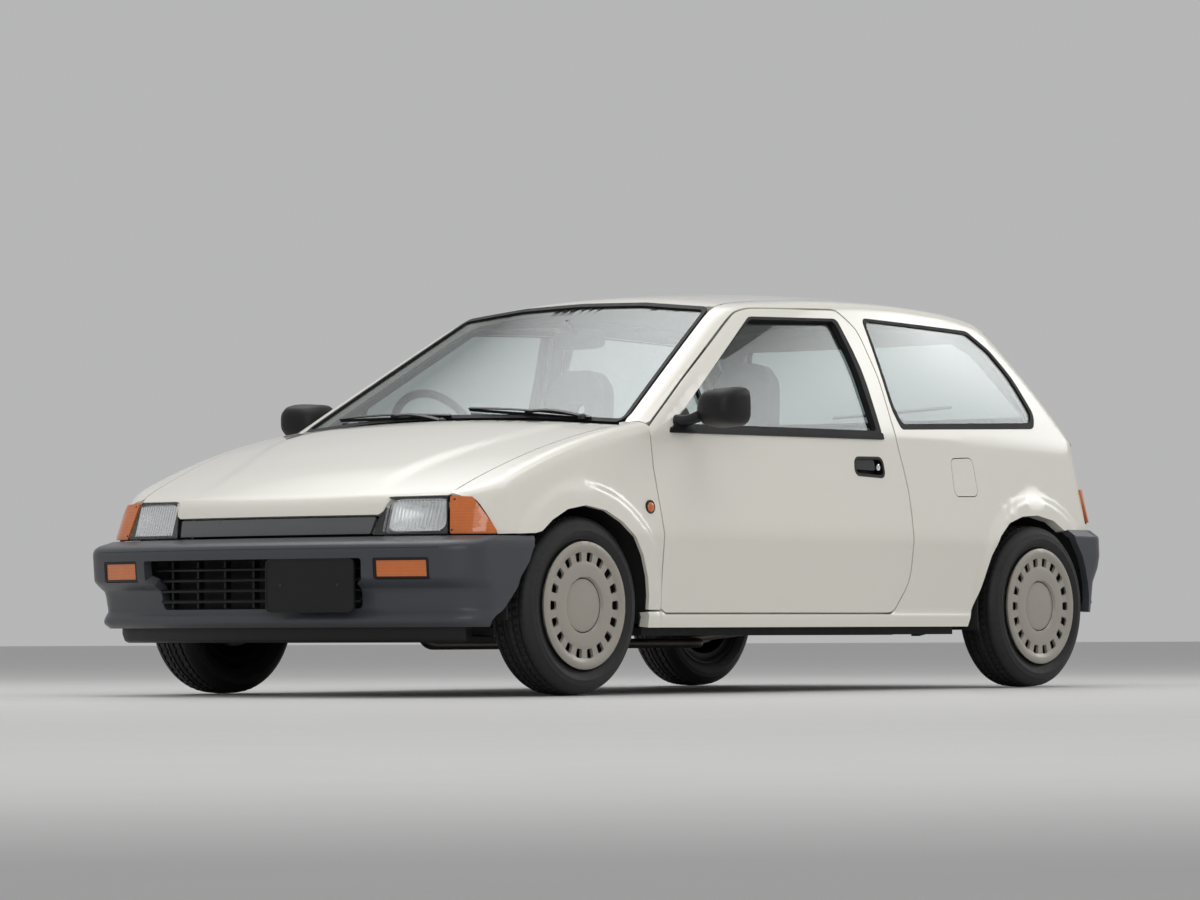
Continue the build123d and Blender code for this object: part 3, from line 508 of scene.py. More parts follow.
def rounded(points: Sequence[Sequence[float]], radius: float = 0.0) -> Loop:
    """A closed outline with rounded corners; a third number is that corner's own radius."""
    done: Loop = []
    count = len(points)
    for i, point in enumerate(points):
        r = point[2] if len(point) > 2 else radius
        p, a, b = (Vector(q[:2]) for q in (point, points[i - 1], points[(i + 1) % count]))
        u, v = (a - p), (b - p)
        angle = u.angle(v, math.pi)
        if r <= 0 or angle > math.radians(172):
            done.append(tuple(p))
            continue
        reach = min(r / math.tan(angle / 2), u.length * 0.48, v.length * 0.48)
        start, end = p + u.normalized() * reach, p + v.normalized() * reach
        steps = max(2, int((math.pi - angle) / math.radians(14)))
        for k in range(steps + 1):
            t = k / steps
            w = math.sin(angle / 2)
            share = ((1 - t) ** 2, 2 * w * t * (1 - t), t * t)
            done.append(tuple((start * share[0] + p * share[1] + end * share[2]) / sum(share)))
    return done


def rounded_box(low: Sequence[float], high: Sequence[float], radius: float) -> Loop:
    """A rectangle between two corners, with rounded corners."""
    return rounded([low, (low[0], high[1]), high, (high[0], low[1])], radius)


def grown(points: Loop, amount: float) -> Loop:
    """An outline moved outwards by an amount, or inwards if it is negative."""
    p = np.array(points)
    area = np.sum(p[:, 0] * np.roll(p[:, 1], -1) - np.roll(p[:, 0], -1) * p[:, 1])
    before, after = p - np.roll(p, 1, 0), np.roll(p, -1, 0) - p
    turn = []
    for d in (before, after):
        d = d / np.maximum(np.linalg.norm(d, axis=1, keepdims=True), 1e-9)
        turn.append(np.stack([d[:, 1], -d[:, 0]], 1))
    n = turn[0] + turn[1]
    n /= np.maximum(np.sum(n * turn[0], 1, keepdims=True), 0.35)
    return [tuple(q) for q in p + n * amount * np.sign(area)]


def divided(points: Loop, step: float) -> Array:
    """A closed outline with no side longer than a step."""
    out = []
    for p, q in zip(points, points[1:] + points[:1]):
        p, q = np.array(p), np.array(q)
        length = np.linalg.norm(q - p)
        if length < 1e-5:
            continue
        count = max(1, int(math.ceil(length / step)))
        out.extend(p + (q - p) * k / count for k in range(count))
    return np.array(out)


def inside(points: Array, loop: Array) -> Array:
    """Which points lie inside a closed outline."""
    x, y = points[:, 0][:, None], points[:, 1][:, None]
    x1, y1 = loop.T
    x2, y2 = np.roll(loop, -1, 0).T
    crosses = ((y1 > y) != (y2 > y)) & (x < (x2 - x1) * (y - y1) / np.where(y2 == y1, 1e-12, y2 - y1) + x1)
    return crosses.sum(1) % 2 == 1


def clearance(points: Array, loop: Array) -> Array:
    """How far each point is from a closed outline."""
    a, d = loop[None], (np.roll(loop, -1, 0) - loop)[None]
    t = np.clip(((points[:, None] - a) * d).sum(2) / np.maximum((d * d).sum(2), 1e-12), 0, 1)
    return np.linalg.norm(points[:, None] - a - t[..., None] * d, axis=2).min(1)


def make_mesh(points: Array, faces: Iterable[Sequence[int]], sharp: float = 38) -> Mesh:
    """A smooth-shaded mesh whose edges are sharp past an angle in degrees."""
    mesh = bpy.data.meshes.new("form")
    mesh.from_pydata([tuple(map(float, p)) for p in points], [], [tuple(map(int, f)) for f in faces])
    mesh.validate()
    mesh.update()
    mesh.shade_smooth()
    mesh.set_sharp_from_angle(angle=math.radians(sharp))
    return mesh


def panel_mesh(
    surface: Surface, outline: Loop, holes: Sequence[Loop] = (),
    depth: Union[float, Callable[[Array, Array], Array]] = 0.02, proud: float = 0.0, spacing: float = 0.026,
    fine: float = 0.0006,
) -> Mesh:
    """A closed panel cut from a surface.

    Args:
        surface: The surface that its outer face follows.
        outline: Its closed outline in the surface's coordinates.
        holes: Closed outlines of its openings.
        depth: Its thickness, or a rule for it.
        proud: How far its outer face stands out of the surface.
        spacing: The distance between its points where it is nearly flat.
        fine: The bulge between points that calls for more of them.

    Returns:
        The mesh.
    """
    loops = [divided(list(loop), spacing * 0.6) for loop in (outline, *holes)]
    low, high = loops[0].min(0), loops[0].max(0)
    grid = np.stack(np.meshgrid(
        np.arange(low[0] + spacing / 2, high[0], spacing), np.arange(low[1] + spacing / 2, high[1], spacing)
    ), -1).reshape(-1, 2)
    half = spacing / 2
    middle = surface.at(grid[:, 0], grid[:, 1])
    bulge = np.zeros(len(grid))
    for da, db in ((half, 0), (0, half)):
        ends = surface.at(grid[:, 0] + da, grid[:, 1] + db) + surface.at(grid[:, 0] - da, grid[:, 1] - db)
        bulge = np.maximum(bulge, np.linalg.norm(ends / 2 - middle, axis=1))
    near = np.any([clearance(grid, loop) < spacing for loop in loops], axis=0)
    keep = inside(grid, loops[0]) | near
    grid, bulge = grid[keep], bulge[keep]
    parts = [(grid[bulge <= fine], spacing)]
    third = spacing / 3
    for da in (-third, 0, third):
        for db in (-third, 0, third):
            parts.append((grid[bulge > fine] + (da, db), third))
    points = []
    for cloud, size in parts:
        if not len(cloud):
            continue
        good = inside(cloud, loops[0])
        for hole in loops[1:]:
            good &= ~inside(cloud, hole)
        for loop in loops:
            good &= clearance(cloud, loop) > size * 0.5
        points.append(cloud[good])
    flat = np.concatenate([*loops, *points])
    edges, start = [], 0
    for loop in loops:
        n = len(loop)
        edges += [(start + i, start + (i + 1) % n) for i in range(n)]
        start += n
    found = delaunay_2d_cdt([Vector(p) for p in flat], edges, [], 0, 1e-7)
    flat = np.array([tuple(v) for v in found[0]])
    faces = np.array([f for f in found[2] if len(f) == 3])
    centres = flat[faces].mean(1)
    good = inside(centres, loops[0])
    for hole in loops[1:]:
        good &= ~inside(centres, hole)
    faces = faces[good]
    corners = flat[faces]
    turn = np.cross(corners[:, 1] - corners[:, 0], corners[:, 2] - corners[:, 0])
    faces[turn < 0] = faces[turn < 0][:, ::-1]
    if surface.outward < 0:
        faces = faces[:, ::-1]
    a, b = flat.T
    thickness = depth(a, b) if callable(depth) else np.full(len(a), depth)
    normals, base = surface.normal(a, b), surface.at(a, b)
    outer = base + normals * proud
    inner = base + normals * (proud - thickness)[:, None]
    count = len(flat)
    seen: dict[tuple[int, int], tuple[int, int]] = {}
    for face in faces:
        for i, j in zip(face, np.roll(face, -1)):
            key = (min(i, j), max(i, j))
            if key in seen:
                seen[key] = (-1, -1)
            else:
                seen[key] = (i, j)
    walls = [(j, i, i + count, j + count) for i, j in seen.values() if i >= 0]
    all_faces = [tuple(f) for f in faces] + [tuple(f[::-1] + count) for f in faces] + walls
    return make_mesh(np.concatenate([outer, inner]), all_faces)


def grid_faces(rows: int, across: int, wrapped: bool, lathe: bool = False) -> list[tuple[int, ...]]:
    """Four-sided faces over rows of points, each row a closed loop.

    Args:
        rows: How many rows there are.
        across: How many points each has.
        wrapped: Whether the last row joins the first.
        lathe: Whether the faces turn the other way, as on a turned form.

    Returns:
        The faces.
    """
    faces = []
    for i in range(rows if wrapped else rows - 1):
        near, far = i * across, (i + 1) % rows * across
        for j in range(across):
            k = (j + 1) % across
            face = (near + j, near + k, far + k, far + j)
            faces.append((face[0], *face[:0:-1]) if lathe else face)
    return faces


def taper(low_half: float, low: float, high_half: float, high: float) -> Loop:
    """A four-sided section, as wide below and above as told."""
    return [(-low_half, low), (low_half, low), (high_half, high), (-high_half, high)]


def mirrored(mesh: Mesh) -> Mesh:
    """The mesh as seen in a mirror along the car's middle."""
    twin = mesh.copy()
    twin.transform(Matrix.Scale(-1, 4, (0, 1, 0)))
    twin.flip_normals()
    return twin


def swept(path: Array, ups: Array, profile: Sequence[Sequence[float]], closed: bool) -> Mesh:
    """A profile carried along a path.

    Args:
        path: The points it passes through.
        ups: For each point, the direction of the profile's second coordinate.
        profile: The closed profile, across and up.
        closed: Whether the path comes back to its start.

    Returns:
        The mesh.
    """
    n, m = len(path), len(profile)
    if closed:
        tangent = np.roll(path, -1, 0) - np.roll(path, 1, 0)
    else:
        tangent = np.gradient(path, axis=0)
    tangent /= np.maximum(np.linalg.norm(tangent, axis=1, keepdims=True), 1e-9)
    ups = ups - tangent * np.sum(ups * tangent, 1, keepdims=True)
    ups /= np.maximum(np.linalg.norm(ups, axis=1, keepdims=True), 1e-9)
    across = np.cross(tangent, ups)
    points = [path[i] + across[i] * p[0] + ups[i] * p[1] for i in range(n) for p in profile]
    faces = grid_faces(n, m, closed)
    if not closed:
        faces += [tuple(range(m))[::-1], tuple((n - 1) * m + j for j in range(m))]
    return make_mesh(np.array(points), faces)


def lathed(profile: Sequence[Sequence[float]], steps: int = 96) -> Mesh:
    """A closed profile of radius and height turned about the Y axis."""
    angles = np.linspace(0, 2 * math.pi, steps, endpoint=False)
    points = [(r * math.cos(t), h, r * math.sin(t)) for t in angles for r, h in profile]
    return make_mesh(np.array(points), grid_faces(steps, len(profile), True, True))


def lofted(sections: Sequence[Array], sharp: float = 38) -> Mesh:
    """A skin over closed sections with equal numbers of points, with flat ends."""
    m = len(sections[0])
    points = np.concatenate(sections)
    faces = grid_faces(len(sections), m, False)
    last = (len(sections) - 1) * m
    faces += [tuple(range(m))[::-1], tuple(last + j for j in range(m))]
    return make_mesh(points, faces, sharp)


def oval(width: float, height: float, power: float = 2.0, count: int = 32) -> Array:
    """A rounded rectangle from an ellipse to nearly square as the power rises."""
    t = np.linspace(0, 2 * math.pi, count, endpoint=False)
    c, s = np.cos(t), np.sin(t)
    return np.stack([
        width / 2 * np.sign(c) * np.abs(c) ** (2 / power), height / 2 * np.sign(s) * np.abs(s) ** (2 / power)
    ], 1)


def joined(meshes: Sequence[Mesh], sharp: float = 38) -> Mesh:
    """Several closed meshes as one."""
    points, faces, start = [], [], 0
    for mesh in meshes:
        points += [tuple(v.co) for v in mesh.vertices]
        faces += [tuple(start + i for i in p.vertices) for p in mesh.polygons]
        start += len(mesh.vertices)
    return make_mesh(np.array(points), faces, sharp)


def moved(mesh: Mesh, matrix: Matrix) -> Mesh:
    """The mesh itself, after a move."""
    mesh.transform(matrix)
    if matrix.determinant() < 0:
        mesh.flip_normals()
    return mesh


def brick(low: Sequence[float], high: Sequence[float]) -> Mesh:
    """A box between two corners, to be softened by a bevel."""
    points = np.array([[(low, high)[(i >> k) & 1][k] for k in range(3)] for i in range(8)])
    faces = [(0, 2, 3, 1), (4, 5, 7, 6), (0, 1, 5, 4), (2, 6, 7, 3), (0, 4, 6, 2), (1, 3, 7, 5)]
    return make_mesh(points, faces)


# ---------------------------------------------------------------------------
# Finishes
# ---------------------------------------------------------------------------


class Link:
    """A node's output that takes part in Python arithmetic."""

    def __init__(self, recipe: "Recipe", socket: bpy.types.NodeSocket) -> None:
        """Wraps an output socket."""
        self.recipe, self.socket = recipe, socket

    def _maths(self, operation: str, first: "Value", second: "Value" = 0.0) -> "Link":
        """Adds one Math node."""
        return self.recipe.node("ShaderNodeMath", {"operation": operation}, {0: first, 1: second})

    def __add__(self, other: "Value") -> "Link":
        """The sum."""
        return self._maths("ADD", self, other)

    def __mul__(self, other: "Value") -> "Link":
        """The product."""
        return self._maths("MULTIPLY", self, other)

    def __sub__(self, other: "Value") -> "Link":
        """The difference."""
        return self._maths("SUBTRACT", self, other)

    def above(self, edge: "Value") -> "Link":
        """1 where the value is over an edge, else 0."""
        return self._maths("GREATER_THAN", self, edge)

    def sine(self) -> "Link":
        """The sine."""
        return self._maths("SINE", self)

    def clamped(self) -> "Link":
        """The value held between 0 and 1."""
        return self.recipe.node("ShaderNodeClamp", {}, {"Value": self})


Value = Union[Link, float]
Colour = tuple[float, float, float]


class Recipe:
    """A material under construction."""

    def __init__(self, name: str) -> None:
        """Starts an empty node material."""
        self.material = bpy.data.materials.new(name)
        self.material.use_nodes = True
        self.tree = self.material.node_tree
        self.tree.nodes.clear()

    def node(self, kind: str, settings: dict, inputs: dict, output: Union[int, str] = 0) -> Link:
        """Adds a node.

        Args:
            kind: The node's type.
            settings: Its settings.
            inputs: Values or links for its sockets, by name or number.
            output: Which output to hand back.

        Returns:
            The output.
        """
        made = self.tree.nodes.new(kind)
        for key, value in settings.items():
            setattr(made, key, value)
        for key, value in inputs.items():
            socket = made.inputs[key]
            if isinstance(value, Link):
                self.tree.links.new(value.socket, socket)
            elif socket.type == "RGBA" and len(value) == 3:
                socket.default_value = (*value, 1)
            else:
                socket.default_value = value
        return Link(self, made.outputs[output])

    def places(self) -> Link:
        """The object's own coordinates."""
        return self.node("ShaderNodeTexCoord", {}, {}, "Object")

    def noise(self, scale: float, detail: float = 2.0, rough: float = 0.5) -> Link:
        """Cloudy noise between 0 and 1."""
        return self.node("ShaderNodeTexNoise", {}, {
            "Vector": self.places(), "Scale": scale, "Detail": detail, "Roughness": rough,
        })

    def mixed(self, share: Value, first: Union[Link, Colour], second: Union[Link, Colour]) -> Link:
        """A blend of two colours."""
        return self.node("ShaderNodeMix", {"data_type": "RGBA"}, {0: share, 6: first, 7: second}, 2)

    def bump(self, height: Link, strength: float, distance: float) -> Link:
        """A bumpy normal."""
        return self.node("ShaderNodeBump", {}, {
            "Height": height, "Strength": strength, "Distance": distance,
        })

    def surface(self, inputs: dict) -> Link:
        """The shader that most finishes use."""
        return self.node("ShaderNodeBsdfPrincipled", {}, inputs)

    def finish(self, shader: Link) -> bpy.types.Material:
        """Joins the shader to the output and hands the material back."""
        output = self.tree.nodes.new("ShaderNodeOutputMaterial")
        self.tree.links.new(shader.socket, output.inputs["Surface"])
        return self.material


@dataclass(frozen=True)
class GlossPaint:
    """Stoved enamel: a warm colour under a clear glossy coat."""

    name: str
    colour: Colour
    roughness: float = 0.32

    def build(self) -> bpy.types.Material:
        """Makes the material."""
        r = Recipe(self.name)
        cloud = r.noise(2.2, 3.0)
        deep = tuple(c * 0.965 for c in self.colour)
        colour = r.mixed(cloud, deep, self.colour)
        peel = r.bump(r.noise(650, 1.0), 0.035, 0.0006)
        return r.finish(r.surface({
            "Base Color": colour, "Roughness": r.noise(40, 2.0) * 0.06 + (self.roughness - 0.03),
            "Normal": peel, "Coat Weight": 1.0, "Coat Roughness": 0.025, "Coat IOR": 1.5,
        }))


@dataclass(frozen=True)
class Moulded:
    """Moulded plastic or rubber with a fine grain."""

    name: str
    colour: Colour
    roughness: float = 0.5
    grain: float = 900.0
    depth: float = 0.25
    uneven: float = 0.12
    coat: float = 0.0

    def build(self) -> bpy.types.Material:
        """Makes the material."""
        r = Recipe(self.name)
        cloud = r.noise(6.0, 5.0, 0.6)
        low = tuple(c * (1 - self.uneven) for c in self.colour)
        high = tuple(min(1, c * (1 + self.uneven)) for c in self.colour)
        cells = r.node("ShaderNodeTexVoronoi", {"feature": "DISTANCE_TO_EDGE"}, {
            "Vector": r.places(), "Scale": self.grain,
        })
        grain = r.bump((cells * 3).clamped(), self.depth, 0.0003)
        return r.finish(r.surface({
            "Base Color": r.mixed(cloud, low, high), "Normal": grain,
            "Roughness": (r.noise(25, 3.0) * 0.14 + (self.roughness - 0.07)).clamped(),
            "Coat Weight": self.coat, "Coat Roughness": 0.05, "Specular IOR Level": 0.32,
        }))


@dataclass(frozen=True)
class Metal:
    """Bare or plated metal."""

    name: str
    colour: Colour
    roughness: float = 0.3
    metallic: float = 1.0
    soot: float = 0.15

    def build(self) -> bpy.types.Material:
        """Makes the material."""
        r = Recipe(self.name)
        dirt = r.noise(18, 6.0, 0.65)
        dull = tuple(c * (1 - self.soot) for c in self.colour)
        return r.finish(r.surface({
            "Base Color": r.mixed(dirt, dull, self.colour), "Metallic": self.metallic,
            "Roughness": (r.noise(60, 4.0) * 0.2 + (self.roughness - 0.1)).clamped(),
            "Normal": r.bump(r.noise(320, 3.0), 0.06, 0.0004),
        }))


@dataclass(frozen=True)
class Glazing:
    """Tinted clear glass that lamps shine through."""

    name: str
    tint: Colour
    through: Colour

    def build(self) -> bpy.types.Material:
        """Makes the material."""
        r = Recipe(self.name)
        film = r.noise(5.0, 4.0)
        low = tuple(c * 0.97 for c in self.tint)
        glass = r.surface({
            "Base Color": r.mixed(film, low, self.tint), "Roughness": 0.0, "IOR": 1.5,
            "Transmission Weight": 1.0,
        })
        clear = r.node("ShaderNodeBsdfTransparent", {}, {"Color": self.through})
        shadow = r.node("ShaderNodeLightPath", {}, {}, "Is Shadow Ray")
        return r.finish(r.node("ShaderNodeMixShader", {}, {0: shadow, 1: glass, 2: clear}))


@dataclass(frozen=True)
class Lens:
    """A coloured lamp lens with a faint painted glow, standing in for light from its reflector."""

    name: str
    colour: Colour
    # painted glow: an emission strength that fakes reflector light coming back through the lens
    painted_glow: float = 0.0

    def build(self) -> bpy.types.Material:
        """Makes the material."""
        r = Recipe(self.name)
        prisms = r.node("ShaderNodeTexWave", {"bands_direction": "Z", "wave_profile": "SAW"}, {
            "Vector": r.places(), "Scale": 34.0,
        })
        cloud = r.noise(30, 2.0)
        deep = tuple(c * 0.6 for c in self.colour)
        # the emission is a painted glow; the lens itself is no lit lamp
        return r.finish(r.surface({
            "Base Color": r.mixed(cloud * 0.6 + prisms * 0.4, deep, self.colour), "Roughness": 0.12,
            "Normal": r.bump(prisms, 0.35, 0.0012), "Coat Weight": 1.0, "Coat Roughness": 0.02,
            "Emission Color": self.colour, "Emission Strength": self.painted_glow,
        }))


@dataclass(frozen=True)
class Cloth:
    """Woven seat cloth or carpet."""

    name: str
    colour: Colour
    fleck: Colour
    threads: float = 900.0
    depth: float = 0.6

    def build(self) -> bpy.types.Material:
        """Makes the material."""
        r = Recipe(self.name)
        split = r.node("ShaderNodeSeparateXYZ", {}, {"Vector": r.places()})
        along, wide, tall = (Link(r, output) for output in split.socket.node.outputs)
        warp = (wide * self.threads).sine()
        weft = ((tall + along) * self.threads).sine()
        weave = warp * weft * 0.5 + 0.5
        flecks = r.noise(240, 2.0).above(0.56)
        worn = r.noise(7, 3.0)
        colour = r.mixed(flecks * 0.5, self.colour, self.fleck)
        faded = r.mixed(worn * 0.35, colour, tuple(c * 0.72 for c in self.colour))
        shade = r.mixed(weave * 0.3 + 0.1, faded, tuple(c * 0.5 for c in self.colour))
        return r.finish(r.surface({
            "Base Color": shade, "Roughness": 0.92, "Sheen Weight": 0.25, "Sheen Roughness": 0.5,
            "Normal": r.bump(weave + r.noise(500, 2.0) * 0.5, self.depth, 0.0006),
        }))


@dataclass(frozen=True)
class Rubber:
    """Tyre rubber, a little greyer where dust settles."""

    name: str
    colour: Colour = (0.009, 0.009, 0.0095)
    dust: Colour = (0.026, 0.025, 0.024)

    def build(self) -> bpy.types.Material:
        """Makes the material."""
        r = Recipe(self.name)
        dusty = (r.noise(14, 6.0, 0.7) * 1.6 - 0.45).clamped()
        return r.finish(r.surface({
            "Base Color": r.mixed(dusty * 0.5, self.colour, self.dust),
            "Roughness": (r.noise(60, 3.0) * 0.2 + 0.5).clamped(),
            "Normal": r.bump(r.noise(700, 3.0), 0.22, 0.0006),
        }))


class Finish(Enum):
    """Every finish on the car, each with its record slot."""

    PAINT = ("paint", GlossPaint("cream_enamel", (0.80, 0.775, 0.69)))
    BUMPER = ("bumper_plastic", Moulded("graphite_bumper", (0.058, 0.061, 0.070), 0.38, 1300, 0.12, 0.06,
                                        0.15))
    BLACK = ("black_plastic", Moulded("black_moulding", (0.009, 0.009, 0.010), 0.44, 1000, 0.2))
    SEAL = ("black_plastic", Moulded("seal_rubber", (0.009, 0.009, 0.009), 0.55, 700, 0.15))
    GREY_STRIP = ("grey_trim", Moulded("slate_strip", (0.10, 0.105, 0.108), 0.30, 1500, 0.05, 0.05, 0.5))
    GLASS = ("window_glass", Glazing("green_grey_glass", (0.62, 0.69, 0.68), (0.62, 0.68, 0.66)))
    LAMP = ("lamp_glass", Glazing("clear_lamp_glass", (0.97, 0.98, 0.98), (0.9, 0.9, 0.9)))
    # the last number on the amber and red lenses is their painted glow
    AMBER = ("amber_lens", Lens("amber_acrylic", (0.68, 0.155, 0.010), 0.08))
    RED = ("red_lens", Lens("red_acrylic", (0.55, 0.012, 0.010), 0.06))
    REVERSE = ("red_lens", Lens("pale_lens", (0.75, 0.74, 0.72), 0.0))
    MIRROR = ("cast_metal", Metal("bright_reflector", (0.90, 0.91, 0.92), 0.12, 1.0, 0.03))
    BOWL = ("cast_metal", Metal("satin_reflector", (0.93, 0.94, 0.95), 0.35, 0.55, 0.02))
    COVER = ("wheel_cover", Moulded("champagne_cover", (0.36, 0.335, 0.29), 0.36, 1600, 0.05, 0.05, 0.3))
    TYRE = ("tyre", Rubber("tyre_rubber"))
    STEEL = ("chassis_steel", Metal("black_steel", (0.035, 0.035, 0.037), 0.5, 0.4, 0.3))
    ROTOR = ("chassis_steel", Metal("grey_iron", (0.20, 0.19, 0.18), 0.45, 0.9, 0.3))
    UNDERSEAL = ("underbody", Moulded("underseal", (0.022, 0.022, 0.022), 0.8, 260, 0.6, 0.3))
    ENGINE = ("cast_metal", Metal("cast_block", (0.22, 0.22, 0.22), 0.6, 0.8, 0.45))
    EXHAUST = ("exhaust_metal", Metal("pipe_steel", (0.30, 0.27, 0.23), 0.45, 0.9, 0.35))
    DASH = ("interior_plastic", Moulded("grained_dash", (0.050, 0.052, 0.056), 0.62, 420, 0.5))
    CLOTH = ("seat_cloth", Cloth("grey_weave", (0.19, 0.195, 0.205), (0.30, 0.31, 0.33)))
    CARPET = ("seat_cloth", Cloth("carpet", (0.045, 0.046, 0.05), (0.08, 0.08, 0.085), 500, 1.0))
    LINING = ("interior_plastic", Cloth("roof_lining", (0.42, 0.42, 0.40), (0.50, 0.50, 0.48), 700, 0.5))
    STALK = ("black_plastic", Moulded("satin_black_metal", (0.011, 0.011, 0.012), 0.34, 1500, 0.06, 0.05,
                                      0.25))

    @property
    def slot(self) -> str:
        """The record's material slot."""
        return self.value[0]

    @property
    def material(self) -> bpy.types.Material:
        """The material, made on first use."""
        made = bpy.data.materials.get(self.value[1].name)
        return made or self.value[1].build()


# ---------------------------------------------------------------------------
# Pieces
# ---------------------------------------------------------------------------


def piece(
    name: str, mesh: Mesh, body: str, finish: Finish, replaces: Sequence[str] = (),
    bevel: float = 0.0, segments: int = 2,
) -> bpy.types.Object:
    """Puts a mesh on the car.

    Args:
        name: The piece's name.
        mesh: Its mesh, already in place.
        body: The CAD body that carries it.
        finish: Its finish.
        replaces: The CAD nodes it stands for.
        bevel: The radius of its edges, or 0 for none.
        segments: How many steps the edges' rounding takes.

    Returns:
        The object.
    """
    mesh.name = name
    obj = bpy.data.objects.new(name, mesh)
    bpy.context.scene.collection.objects.link(obj)
    mesh.materials.clear()
    mesh.materials.append(finish.material)
    if bevel:
        soft = obj.modifiers.new("soft_edges", "BEVEL")
        soft.width, soft.segments, soft.limit_method = bevel, segments, "ANGLE"
        soft.angle_limit = math.radians(40)
        soft.harden_normals = True
    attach(obj, body)
    if replaces:
        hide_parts(*replaces)
    log.info("%s on %s: %d faces", name, body, len(mesh.polygons))
    return obj


def pair(
    stem: str, mesh: Mesh, bodies: Sequence[str], finish: Finish, replaces: Sequence[str] = (),
    bevel: float = 0.0,
) -> None:
    """Puts a left-hand mesh and its mirror image on the car.

    Args:
        stem: The pieces' name, before _left and _right.
        mesh: The left-hand mesh.
        bodies: The bodies of the left and the right one.
        finish: Their finish.
        replaces: Stems of the CAD nodes they stand for.
        bevel: The radius of their edges.
    """
    meshes = (mesh, mirrored(mesh))
    for (side, _), body, one in zip(SIDES, bodies, meshes):
        piece(f"{stem}_{side}", one, body, finish, [f"{node}_{side}" for node in replaces], bevel)


def ring_on(surface: Surface, outline: Loop, inner: float, outer: float, depth: float, proud: float,
            spacing: float = 0.02) -> Mesh:
    """A band along an outline, such as a window's moulding."""
    return panel_mesh(surface, grown(outline, outer), [grown(outline, inner)], depth, proud, spacing, 0.002)


# ---------------------------------------------------------------------------
# Painted body
# ---------------------------------------------------------------------------

ROOT_PAIR = ("root", "root")
DOOR_PAIR = ("door_left", "door_right")


def both_hands(half: Loop) -> Loop:
    """A closed outline from its right half, which runs from the middle line back to it."""
    return half + [(-y, z) for y, z in half[::-1]]


